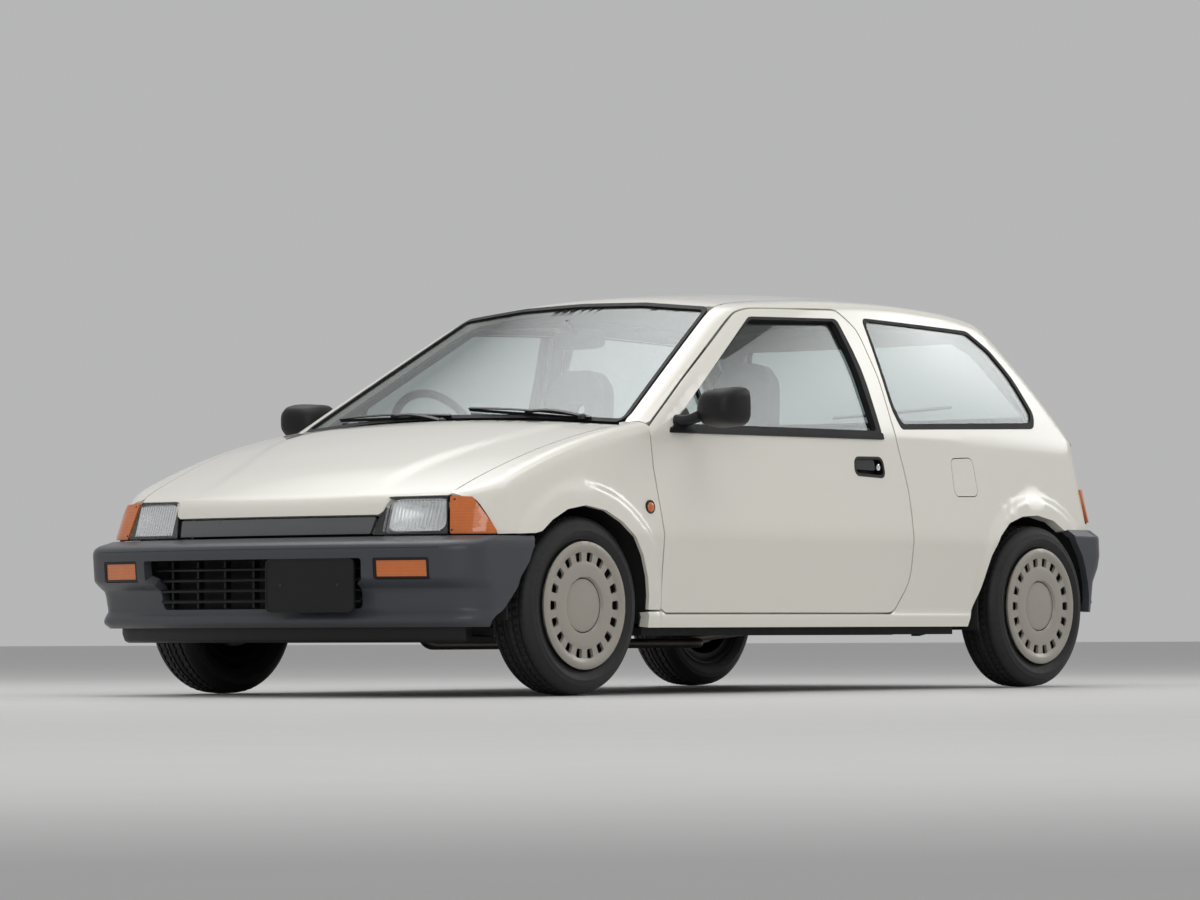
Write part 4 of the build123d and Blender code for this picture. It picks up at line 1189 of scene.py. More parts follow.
@dataclass
class BodyShell:
    """The painted panels: sides, roof, fenders, hood, doors, tailgate and fuel flap."""

    gap: float = 0.003
    rail_y: float = 0.500
    roof_rear: float = -1.177
    thin: float = 0.0025
    door: Loop = field(default_factory=lambda: [
        (0.742, 0.262, 0.006), (0.742, 0.485, 0.2), (0.757, 0.690, 0.2), (0.752, 0.812, 0.02),
        (0.500, 0.967, 0.9), (0.095, 1.206, 0.12), (0.030, 1.219, 0.2), (-0.395, 1.227, 0.05),
        (-0.470, 1.168, 0.08), (-0.506, 1.010, 0.3), (-0.512, 0.880, 0.4), (-0.520, 0.790, 0.4),
        (-0.556, 0.640, 0.5), (-0.548, 0.485, 0.5), (-0.540, 0.350, 0.12), (-0.455, 0.249, 0.05),
        (0.715, 0.249, 0.01),
    ])
    door_window: Loop = field(default_factory=lambda: [
        (0.668, 0.803, 0.015), (0.048, 1.190, 0.05), (-0.385, 1.200, 0.022), (-0.432, 1.040, 0.5),
        (-0.447, 0.815, 0.02),
    ])
    handle_hole: Loop = field(default_factory=lambda: [
        (-0.270, 0.690, 0.018), (-0.276, 0.744, 0.022), (-0.425, 0.746, 0.022), (-0.430, 0.684, 0.018),
    ])
    quarter_window: Loop = field(default_factory=lambda: [
        (-0.519, 1.208, 0.02), (-1.120, 1.190, 0.06), (-1.225, 1.130, 0.10), (-1.320, 1.040, 0.3),
        (-1.395, 0.915, 0.04), (-1.372, 0.866, 0.03), (-0.566, 0.842, 0.02), (-0.536, 0.900, 0.3),
    ])
    rear_arch: Loop = field(default_factory=lambda: [
        (-1.447, 0.525), (-1.385, 0.557), (-1.290, 0.573), (-1.195, 0.568), (-1.110, 0.545), (-1.045, 0.500),
        (-0.994, 0.436), (-0.935, 0.310), (-0.887, 0.203),
    ])
    front_arch: Loop = field(default_factory=lambda: [
        (0.812, 0.257), (0.813, 0.300), (0.825, 0.356), (0.852, 0.420), (0.893, 0.476), (0.950, 0.522),
        (1.020, 0.556), (1.110, 0.570), (1.195, 0.557), (1.270, 0.524), (1.322, 0.490), (1.350, 0.484),
    ])
    fuel_flap: Loop = field(default_factory=lambda: [
        (-0.822, 0.630, 0.022), (-0.822, 0.752, 0.022), (-0.948, 0.757, 0.022), (-0.958, 0.632, 0.022),
    ])
    windshield: Loop = field(default_factory=lambda: [
        (0.666, 0.828, 0.02), (0.503, 1.219, 0.035), (0.250, 1.243, 0.8), (0.0, 1.249, 0.0),
        (-0.250, 1.243, 0.8), (-0.503, 1.219, 0.035), (-0.666, 0.828, 0.02), (-0.330, 0.851, 0.8),
        (0.0, 0.858, 0.0), (0.330, 0.851, 0.8),
    ])
    rear_window: Loop = field(default_factory=lambda: [
        (0.575, 0.905, 0.03), (0.490, 1.150, 0.05), (0.440, 1.192, 0.04), (-0.440, 1.192, 0.04),
        (-0.490, 1.150, 0.05), (-0.575, 0.905, 0.03),
    ])

    def __post_init__(self) -> None:
        """Works out the surfaces that the panels are cut from."""
        self.cabin = SideSurface(True)
        self.nose_side = SideSurface(False)
        self.nose = EndSurface(True)
        self.tail = EndSurface(False)

    def rear_corner(self, z: Array) -> tuple[Array, Array]:
        """The middle of the rounded corner between side and rear face."""
        found = []
        for ring in (lower_ring(z), upper_ring(z)):
            x, y = ring.rear_x, ring.rear_y
            for _ in range(8):
                y = ring.side(x) - ring.corner * MID_FILLET
                x = ring.rear(y) + ring.corner * MID_FILLET
            found.append((x, y))
        (x1, y1), (x2, y2) = found
        return belt_blend(x1, x2, z), belt_blend(y1, y2, z)

    def pillar_edge(self, shift: float) -> Array:
        """Points down the windshield's edge, a little outside the glass."""
        share = np.linspace(0, 1, 14)
        y = 0.503 + (0.666 - 0.503) * share + shift
        z = 1.219 + (0.828 - 1.219) * share + shift * 0.4
        return np.stack([upper_ring(z).end_rounded(y, True), y, z], 1)

    def side_outline(self) -> Loop:
        """The fixed side panel: sill, pillars, rail and quarter, as one sheet round the door."""
        g = self.gap * 2
        door = [tuple(p) for p in divided(grown(rounded(self.door), g), 0.03)]
        cut = [p for p in door if not (p[0] > 0.742 and p[1] > 0.25)]
        start = max(range(len(cut)), key=lambda i: math.hypot(cut[i][0] - cut[i - 1][0],
            cut[i][1] - cut[i - 1][1]))
        path = cut[start:] + cut[:start]
        if path[0][1] > path[-1][1]:
            path = path[::-1]
        path = [p for p in path if p[1] < 0.826 or p[0] < 0.74]
        corner_z = np.linspace(1.196, 0.674, 22)
        corner_x, _ = self.rear_corner(corner_z)
        pillar = self.cabin.unfold(self.pillar_edge(0.004)[::-1])
        top = pillar[-1]
        rail_x = np.linspace(top[0] - 0.03, self.roof_rear + self.gap, 24)
        rail = self.cabin.unfold(np.stack([rail_x, np.full(24, self.rail_y + self.gap), np.full(24, 2.0)], 1))
        back_x = np.array([self.roof_rear + self.gap, -1.215, -1.250])
        back = self.cabin.unfold(np.stack([back_x, np.array([0.526, 0.530, 0.533]), np.full(3, 2.0)], 1))
        foot = [(0.817, 0.203), (0.8125, 0.251), (0.752, 0.251)]
        lamp = [(-1.613, 0.672), (-1.613, 0.549), (-1.655, 0.549), (-1.655, 0.524)]
        return (
            foot + path + [(0.742, 0.832)] + pillar + rail + back
            + [(float(x) + self.gap, float(z)) for x,
               z in zip(corner_x, corner_z)] + lamp + list(self.rear_arch)
        )

    def fender_outline(self) -> Loop:
        """A front fender: over the wheel, up to the lamp and on to the hood's edge."""
        plan_x = np.linspace(1.548, 0.842, 26)
        plan_y = hood_edge(plan_x) + 0.004
        edge = self.nose_side.unfold(np.stack([plan_x, plan_y, np.full(26, 2.0)], 1))
        cowl = self.nose_side.unfold(np.array([[0.800, 0.668, 2.0], [0.781, 0.672, 2.0]]))
        return (
            [(0.748, 0.257)] + list(self.front_arch) + [(1.494, 0.480), (1.5285, 0.595), (1.543, 0.600)]
            + edge + cowl + [(0.748, 0.822), (0.757, 0.806), (0.763, 0.690), (0.752, 0.560), (0.748, 0.485)]
        )

    def hood_outline(self) -> Loop:
        """The hood, from its lip between the lamps to the cowl."""
        half: Loop = [(0.0, 0.541), (0.405, 0.541), (0.420, 0.550), (0.436, 0.590), (0.446, 0.599),
                      (0.622, 0.599)]
        for x in np.linspace(1.552, 0.842, 30):
            half.append(self.nose.over(float(x), hood_edge(x) - 0.001))
        for y in np.linspace(0.60, 0.0, 9):
            half.append(self.nose.over(0.892 - 0.050 * (y / 0.697) ** 2, float(y)))
        return both_hands(half)[1:-1]

    def tailgate_outline(self) -> Loop:
        """The tailgate, from the roof's rear edge down between the tail lamps."""
        z = np.linspace(0.676, 1.196, 22)
        _, y = self.rear_corner(z)
        half: Loop = [(0.0, 0.552), (0.456, 0.552), (0.456, 0.676)]
        half += [(float(a) - 0.002, float(b)) for a, b in zip(y, z)]
        for x, inner in ((-1.250, 0.527), (-1.215, 0.524), (self.roof_rear - self.gap, 0.520)):
            half.append(self.tail.over(x, inner))
        half += [self.tail.over(self.roof_rear - self.gap, float(w)) for w in np.linspace(0.46, 0.0, 8)]
        return both_hands(half)[1:-1]

    def roof_outline(self) -> Loop:
        """The roof between its two side seams, from the windshield's header to the tailgate."""
        y = np.linspace(-0.497, 0.497, 25)
        w = np.abs(y)
        z = 1.253 - 0.030 * (w / 0.503) ** 2
        x = upper_ring(z).end_rounded(w, True) - 0.006 - 0.014 * np.maximum(w - 0.462, 0) / 0.035
        front = [(float(a), float(b)) for a, b in zip(x, y)]
        return front + [(self.roof_rear + self.gap, 0.497), (self.roof_rear + self.gap, -0.497)]

    def wall_depth(self, a: Array, b: Array) -> Array:
        """Doors are deep below the windows and slim round them."""
        return 0.038 + 0.044 * (1 - smoothstep(0.775, 0.835, b))

    def build(self) -> None:
        """Makes every painted panel."""
        outline = self.side_outline()
        window = rounded(self.quarter_window)
        flap = rounded(self.fuel_flap)
        for side, hand in SIDES:
            holes = [window, grown(flap, self.gap)] if hand > 0 else [window]
            mesh = panel_mesh(self.cabin, outline, holes, lambda a, b: 0.034 + 0 * a)
            if hand < 0:
                mesh = mirrored(mesh)
            piece(f"side_panel_{side}", mesh, "root", Finish.PAINT, [f"body_side_{side}"], self.thin)
        piece("fuel_flap", panel_mesh(self.cabin, flap, (), 0.0035), "fuel_door", Finish.PAINT,
              ["fuel_door"], 0.001)
        pair("fender", panel_mesh(self.nose_side, self.fender_outline(), (), 0.012), ROOT_PAIR,
             Finish.PAINT, ["front_fender"], self.thin)
        piece("roof_skin", panel_mesh(TopSurface(), self.roof_outline(), (), 0.028), "root",
              Finish.PAINT, ["roof_panel"], self.thin)
        piece("hood_skin", panel_mesh(self.nose, self.hood_outline(), (), 0.018), "hood",
              Finish.PAINT, ["hood"], self.thin)
        holes = [rounded(self.rear_window)]
        piece("tailgate_skin", panel_mesh(self.tail, self.tailgate_outline(), holes, 0.045),
              "tailgate", Finish.PAINT, ["tailgate"], self.thin)
        door = panel_mesh(
            self.cabin, rounded(self.door), [rounded(self.door_window), rounded(self.handle_hole)],
            self.wall_depth,
        )
        pair("door_shell", door, DOOR_PAIR, Finish.PAINT, ["door"], self.thin)


@dataclass
class Windows:
    """Panes, mouldings and run channels."""

    shell: BodyShell
    pane: float = 0.005

    def build(self) -> None:
        """Makes the glass and the rubber round it."""
        shell = self.shell
        front, rear = GlassFace(True), GlassFace(False)
        shield = rounded(shell.windshield)
        piece("windshield", panel_mesh(front, grown(shield, -0.003), (), self.pane, -0.003, 0.03),
              "root", Finish.GLASS, ["fixed_glass"])
        piece("windshield_moulding", ring_on(front, shield, -0.012, -0.001, 0.012, 0.0025),
              "root", Finish.SEAL, (), 0.0015)
        back = rounded(shell.rear_window)
        piece("rear_pane", panel_mesh(rear, grown(back, -0.003), (), self.pane, -0.003, 0.03),
              "tailgate", Finish.GLASS, ["rear_window"])
        piece("rear_moulding", ring_on(rear, back, -0.014, -0.001, 0.012, 0.002), "tailgate",
              Finish.SEAL, (), 0.0015)
        quarter = rounded(shell.quarter_window)
        pair("quarter_pane", panel_mesh(shell.cabin, grown(quarter, -0.004), (), self.pane, -0.003),
             ROOT_PAIR, Finish.GLASS)
        inner = rounded([
            (-0.530, 1.197, 0.02), (-1.115, 1.178, 0.06), (-1.214, 1.121, 0.10), (-1.303, 1.034, 0.3),
            (-1.374, 0.916, 0.035), (-1.358, 0.886, 0.03), (-0.578, 0.860, 0.02), (-0.548, 0.912, 0.3),
        ])
        band = panel_mesh(shell.cabin, grown(quarter, -0.001), [inner], 0.010, 0.002, 0.02, 0.002)
        pair("quarter_moulding", band, ROOT_PAIR, Finish.SEAL, (), 0.0015)
        light = rounded(shell.door_window)
        pane = panel_mesh(shell.cabin, grown(light, 0.004), (), 0.004, -0.016)
        pair("door_pane", pane, DOOR_PAIR, Finish.GLASS, ["door_glass"])
        opening = rounded([
            (0.642, 0.830, 0.012), (0.048, 1.180, 0.05), (-0.368, 1.190, 0.022), (-0.404, 1.040, 0.5),
            (-0.420, 0.834, 0.012),
        ])
        channel = panel_mesh(shell.cabin, grown(light, -0.0005), [opening], 0.026, 0.0005, 0.02, 0.002)
        pair("door_channel", channel, DOOR_PAIR, Finish.SEAL, (), 0.0015)
        bar = rounded([(0.4470, 0.815, 0.002), (0.4420, 0.946, 0.002), (0.4300, 0.953, 0.002),
                       (0.4330, 0.815, 0.002)])
        pair("door_divider", panel_mesh(shell.cabin, bar, (), 0.014, -0.006, 0.03), DOOR_PAIR,
             Finish.SEAL, (), 0.001)
        waist = rounded([(0.664, 0.800, 0.004), (0.652, 0.816, 0.004), (-0.446, 0.826, 0.004),
                         (-0.447, 0.806, 0.004)])
        pair("door_waist_seal", panel_mesh(shell.cabin, waist, (), 0.010, 0.005), DOOR_PAIR,
             Finish.SEAL, (), 0.002)


def prism(outline: Loop, low: float, high: float) -> Mesh:
    """A flat plate: an outline in length and height, from one width to another."""
    n = len(outline)
    points = [(x, y, z) for y in (low, high) for x, z in outline]
    faces = [tuple(range(n)), tuple(range(n, 2 * n))[::-1]]
    faces += [((i + 1) % n, i, n + i, n + (i + 1) % n) for i in range(n)]
    return make_mesh(np.array(points), faces)


def placed(mesh: Mesh, place: Sequence[float], turn: float = 0.0, axis: str = "Z") -> Mesh:
    """The mesh turned about its own origin, in degrees, and moved to a place."""
    return moved(mesh, Matrix.Translation(Vector(place)) @ Matrix.Rotation(math.radians(turn), 4, axis))


def dome(radius: float, height: float, steps: int = 40) -> Mesh:
    """A shallow round button that bulges along +Y."""
    arc = [(radius * math.cos(t), height * math.sin(t)) for t in np.linspace(0, math.pi / 2 - 0.12, 7)]
    return lathed([(0.0004, -0.004), (radius, -0.004), *arc, (0.0004, height)], steps)


# ---------------------------------------------------------------------------
# Nose and tail
# ---------------------------------------------------------------------------


@dataclass
class Nose:
    """Headlamps, corner lamps, the strip between them, bumper, grille and plate."""

    lamp_low: float = 0.481
    lamp_high: float = 0.594
    wall: float = 0.028
    slat_heights: tuple[float, ...] = (0.287, 0.319, 0.351, 0.383)
    rib_places: tuple[float, ...] = (-0.36, -0.24, -0.12, 0.0)

    def __post_init__(self) -> None:
        """Works out the surfaces of the nose and of the bumper."""
        self.face = WrapSurface(LOWER_RINGS, True, True)
        self.bumper = WrapSurface(FRONT_BUMPER_RINGS, True, False)

    def on_bumper(self, z: float) -> float:
        """The distance up the bumper's profile at a height."""
        return float(np.interp(z, FRONT_BUMPER_RINGS[:, 0], self.bumper.up))

    def build(self) -> None:
        """Makes every piece of the nose."""
        self.lamps()
        self.bumper_skin()
        self.grille()
        self.plate()

    def lamps(self) -> None:
        """Headlamps with fluted glass and reflectors, and amber corner lamps."""
        low, high = self.lamp_low, self.lamp_high
        head = rounded([(0.402, low, 0.006), (0.434, high, 0.014), (0.634, high, 0.006), (0.660, low, 0.006)])
        pair("headlamp_glass", panel_mesh(self.face, head, (), 0.004, 0.0, 0.02), ROOT_PAIR,
             Finish.LAMP, (), 0.001)
        pair("headlamp_bezel", ring_on(self.face, head, -0.005, -0.0005, 0.05, -0.004), ROOT_PAIR,
             Finish.BLACK)
        back = panel_mesh(self.face, grown(head, -0.002), (), 0.006, -0.062, 0.03)
        pair("headlamp_back", back, ROOT_PAIR, Finish.BOWL)
        pair("headlamp_bowl", self.bowl(), ROOT_PAIR, Finish.BOWL)
        pair("headlamp_flutes", self.flutes(), ROOT_PAIR, Finish.LAMP)
        top_u, low_u = self.face.round_to(1.531, high), self.face.round_to(1.496, low)
        corner = rounded([(0.668, low, 0.006), (0.642, high, 0.006), (top_u, high - 0.004, 0.008),
                          (low_u, low, 0.006)])
        pair("corner_lamp", panel_mesh(self.face, corner, (), 0.024, 0.001, 0.014), ROOT_PAIR,
             Finish.AMBER, (), 0.002)
        zone = rounded([(0.396, low - 0.006, 0.004), (0.430, high + 0.006, 0.01),
                        (top_u + 0.004, high + 0.004, 0.01), (low_u + 0.004, low - 0.006, 0.006)])
        pair("lamp_frame", ring_on(self.face, zone, -0.007, 0.0, 0.03, -0.010), ROOT_PAIR, Finish.BLACK)
        screws = []
        for u, z in ((0.672, low + 0.010), (0.660, high - 0.012)):
            spot = self.face.at(np.array([u]), np.array([z]))[0]
            head_mesh = placed(dome(0.0045, 0.0018, 20), (0, 0, 0), -68)
            screws.append(placed(head_mesh, spot))
        pair("corner_lamp_screws", joined(screws), ROOT_PAIR, Finish.STEEL)
        amber = rounded_box((0.4935, self.on_bumper(0.351)), (0.6650, self.on_bumper(0.407)), 0.006)
        pair("bumper_lamp", panel_mesh(self.bumper, grown(amber, -0.004), (), 0.018, -0.004, 0.02), ROOT_PAIR,
             Finish.AMBER, (), 0.003)
        rim = ring_on(self.bumper, amber, -0.0035, 0.0045, 0.03, -0.001)
        pair("bumper_lamp_rim", rim, ROOT_PAIR, Finish.BLACK, (), 0.001)
        cover = panel_mesh(self.face, grown(zone, -0.004), (), 0.02, -0.074, 0.04)
        both = joined([cover, mirrored(cover)])
        piece("lamp_boxes", both, "root", Finish.BLACK, ["headlights", "turn_lamps"])

    def bowl(self) -> Mesh:
        """A bright headlamp bowl, square-shouldered in front and round behind."""
        sections = []
        for depth, width, height, power in (
            (0.066, 0.060, 0.046, 2.0), (0.040, 0.120, 0.080, 2.6), (0.012, 0.192, 0.096, 6.0),
            (0.012, 0.188, 0.092, 6.0), (0.030, 0.140, 0.082, 3.0), (0.046, 0.094, 0.066, 2.3),
            (0.058, 0.050, 0.040, 2.0), (0.062, 0.020, 0.018, 2.0),
        ):
            shape = oval(width, height, power, 48)
            y = 0.536 + shape[:, 0]
            z = 0.538 + shape[:, 1]
            x = self.face.at(y * 1.012, z)[:, 0] - depth
            sections.append(np.stack([x, y, z], 1))
        return lofted(sections[::-1], 50)

    def flutes(self) -> Mesh:
        """Upright half-round flutes on the back of the headlamp glass."""
        bars = []
        for u in np.arange(0.440, 0.634, 0.0125):
            z = np.linspace(self.lamp_low + 0.010, self.lamp_high - 0.012, 7)
            path = self.face.inset(np.full(7, u), z, 0.0055)
            ups = self.face.normal(np.full(7, u), z)
            bars.append(swept(path, ups, [(-0.0045, 0.001), (-0.002, -0.0018), (0.002, -0.0018),
                                                   (0.0045, 0.001)], False))
        return joined(bars)

    def bumper_skin(self) -> None:
        """The bumper: ledge, face with lamp pockets, stepped grille opening and lower lip."""
        ends = ((1.347, 0.4755), (1.352, 0.445), (1.376, 0.400), (1.420, 0.330), (1.474, 0.262),
                (1.530, 0.2065))
        left = []
        for x, z in ends:
            s = self.on_bumper(z)
            left.append((self.bumper.round_to(x, s), s))
        outline = left + [(-u, s) for u, s in left[::-1]]
        up = self.on_bumper
        opening = rounded([
            (-0.449, up(0.411), 0.010), (0.449, up(0.411), 0.010), (0.446, up(0.349), 0.012),
            (0.418, up(0.336), 0.012), (0.410, up(0.262), 0.016), (-0.410, up(0.262), 0.016),
            (-0.418, up(0.336), 0.012), (-0.446, up(0.349), 0.012),
        ])
        pocket = rounded_box((0.488, up(0.3465)), (0.6705, up(0.4115)), 0.008)
        other = [(-u, s) for u, s in pocket[::-1]]
        skin = panel_mesh(self.bumper, outline, [opening, pocket, other], self.wall, 0.0, 0.022)
        piece("front_bumper_skin", skin, "root", Finish.BUMPER, ["front_bumper"], 0.003, 3)
        groove = [(u, up(0.4425)) for u in np.linspace(-0.70, 0.70, 90)]
        path = self.bumper.inset(*(np.array(v) for v in zip(*groove)), -0.0006)
        ups = self.bumper.normal(*(np.array(v) for v in zip(*groove)))
        piece("bumper_bead", swept(path, ups, taper(0.002, -0.002, 0.002, 0.001), False), "root",
              Finish.BUMPER)
        y = np.linspace(-0.70, 0.70, 71)
        ring = Ring(FRONT_BUMPER_RINGS[0, 1:][:, None] * np.ones(71))
        x = ring.end_rounded(y, True) - 0.036
        lip = swept(np.stack([x, y, np.full(71, 0.190)], 1), np.tile([0.0, 0.0, 1.0], (71, 1)),
                    [(-0.10, -0.012), (-0.016, -0.028), (-0.004, -0.022), (0.004, 0.0), (0.004, 0.022),
                     (-0.10, 0.022)],
                    False)
        piece("chin", lip, "root", Finish.BLACK, (), 0.003)

    def grille(self) -> None:
        """Slats, ribs and the dark panel behind them, and the strip between the headlamps."""
        y = np.linspace(-0.445, 0.445, 41)
        ring = Ring(FRONT_BUMPER_RINGS[4, 1:][:, None] * np.ones(41))
        x = ring.front(y) - 0.012
        up = np.tile([0.0, 0.0, 1.0], (41, 1))
        slats = []
        for z in self.slat_heights:
            w = y * (0.441 if z > 0.343 else 0.404) / 0.445
            slats.append(swept(np.stack([np.interp(w, y, x), w, np.full(41, z)], 1), up, [
                (-0.018, -0.0035), (0.012, -0.0055), (0.016, 0.0), (0.012, 0.0045), (-0.018, 0.0035)], False))
        for place in self.rib_places:
            front = float(np.interp(place, y, x))
            slats.append(brick((front - 0.018, place - 0.004, 0.266), (front + 0.006, place + 0.004, 0.408)))
        piece("grille_bars", joined(slats), "root", Finish.BLACK, ["grille_slats"], 0.001)
        wall = swept(np.stack([x - 0.045, y, np.full(41, 0.336)], 1), up,
                     [(-0.004, -0.086), (0.0, -0.086), (0.0, 0.090), (-0.004, 0.090)], False)
        piece("grille_back", wall, "root", Finish.UNDERSEAL)
        strip = rounded([(-0.392, 0.484, 0.003), (-0.402, 0.535, 0.004), (0.402, 0.535, 0.004),
                         (0.392, 0.484, 0.003)])
        piece("nose_strip", panel_mesh(self.face, strip, (), 0.018, -0.004, 0.02), "root",
              Finish.GREY_STRIP, ["grille_strip"], 0.003)

    def plate(self) -> None:
        """The blank dark plate on the grille, with its raised edge and two screws."""
        low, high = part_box("front_plate")
        middle = [(a + b) / 2 for a, b in zip(low, high)]
        width, height = high[1] - low[1] - 0.004, high[2] - low[2]
        edge = oval(width, height, 14, 64)
        inner = oval(width - 0.012, height - 0.012, 12, 64)
        sections = []
        for x, loop in ((-0.005, edge), (0.0035, edge), (0.005, edge * 0.994), (0.005, inner),
                        (0.0035, inner * 0.996)):
            sections.append(np.stack([np.full(64, x), loop[:, 0], loop[:, 1]], 1))
        board = lofted(sections)
        piece("number_board", placed(board, middle, 6), "root", Finish.BLACK, ["front_plate"])
        screws = []
        for y in (-0.105, 0.105):
            screw = placed(dome(0.006, 0.0015, 24), (0.005, y, 0.0), -90)
            screws.append(placed(screw, middle, 6))
        piece("number_board_screws", joined(screws), "root", Finish.STEEL)


@dataclass
class Tail:
    """Tail lamps, rear bumper, plate and tailgate fittings."""

    low: float = 0.555
    high: float = 0.666

    def __post_init__(self) -> None:
        """Works out the surfaces of the tail and of its bumper."""
        self.face = WrapSurface(LOWER_RINGS, False, True)
        self.bumper = WrapSurface(REAR_BUMPER_RINGS, False, False)
        self.door = EndSurface(False)

    def build(self) -> None:
        """Makes every piece of the tail."""
        self.lamps()
        self.bumper_skin()
        self.fittings()

    def lamps(self) -> None:
        """Each lamp: a pale, a red and an amber lens in a dark case."""
        low, high = self.low, self.high
        end = self.face.round_to(-1.618, 0.61)
        lenses = (
            ("reversing_lamp", Finish.REVERSE, 0.468, 0.540), ("tail_lamp", Finish.RED, 0.543, 0.688),
            ("rear_turn_lamp", Finish.AMBER, 0.691, end),
        )
        for name, finish, start, stop in lenses:
            lens = rounded_box((start, low), (stop, high), 0.004)
            pair(name, panel_mesh(self.face, lens, (), 0.022, 0.0015, 0.016), ROOT_PAIR, finish, (), 0.002)
        case = rounded_box((0.463, low - 0.004), (end + 0.002, high + 0.004), 0.006)
        box = panel_mesh(self.face, case, (), 0.035, -0.008, 0.03)
        both = joined([box, mirrored(box)])
        piece("tail_lamp_cases", both, "root", Finish.BLACK, ["tail_lamps"])

    def bumper_skin(self) -> None:
        """The rear bumper, stepped along its lower half."""
        ends = ((-1.462, 0.5275), (-1.500, 0.490), (-1.531, 0.450), (-1.561, 0.400), (-1.582, 0.350),
                (-1.592, 0.300), (-1.594, 0.2505))
        left = []
        for x, z in ends:
            s = float(np.interp(z, REAR_BUMPER_RINGS[:, 0], self.bumper.up))
            left.append((self.bumper.round_to(x, s), s))
        outline = left + [(-u, s) for u, s in left[::-1]]
        skin = panel_mesh(self.bumper, outline, (), 0.024, 0.0, 0.022)
        piece("rear_bumper_skin", skin, "root", Finish.BUMPER, ["rear_bumper"], 0.003, 3)

    def fittings(self) -> None:
        """The plate with its screws, the plate lamp bar, the lock and the rear wiper."""
        board = rounded_box((-0.165, 0.572), (0.165, 0.702), 0.008)
        piece("rear_board", panel_mesh(self.door, board, (), 0.004, 0.004, 0.02), "tailgate",
              Finish.BLACK, (), 0.001)
        screws = []
        for y in (-0.105, 0.105):
            spot = self.door.inset(np.array([y]), np.array([0.640]), -0.004)[0]
            screws.append(placed(placed(dome(0.006, 0.0015, 24), (0, 0, 0), 90), spot))
        piece("rear_board_screws", joined(screws), "tailgate", Finish.STEEL)
        bar = rounded([(-0.200, 0.722, 0.006), (-0.196, 0.762, 0.012), (0.196, 0.762, 0.012),
                       (0.200, 0.722, 0.006)])
        piece("plate_lamp_bar", panel_mesh(self.door, bar, (), 0.004, 0.016, 0.02), "tailgate",
              Finish.BLACK, (), 0.003)
        spot = self.door.inset(np.array([0.0]), np.array([0.790]), -0.001)[0]
        lock = placed(placed(dome(0.013, 0.005, 36), (0, 0, 0), 90), spot)
        piece("tailgate_lock", lock, "tailgate", Finish.STALK)
        glass = GlassFace(False)
        y = np.linspace(-0.30, 0.22, 40)
        z = 0.935 + 0.045 * (y + 0.30)
        blade = swept(glass.inset(y, z, -0.007), glass.normal(y, z),
                      taper(0.004, -0.007, 0.002, 0.004), False)
        y = np.linspace(0.0, -0.06, 12)
        z = np.linspace(0.880, 0.945, 12)
        arm = swept(glass.inset(y, z, -0.013), glass.normal(y, z),
                    taper(0.006, -0.003, 0.005, 0.003), False)
        spot = glass.inset(np.array([0.0]), np.array([0.880]), -0.002)[0]
        cap = placed(placed(dome(0.014, 0.018, 32), (0, 0, 0), 90), spot)
        piece("rear_wiper", joined([blade, arm, cap]), "tailgate", Finish.STALK)


# ---------------------------------------------------------------------------
# Fittings on the body
# ---------------------------------------------------------------------------


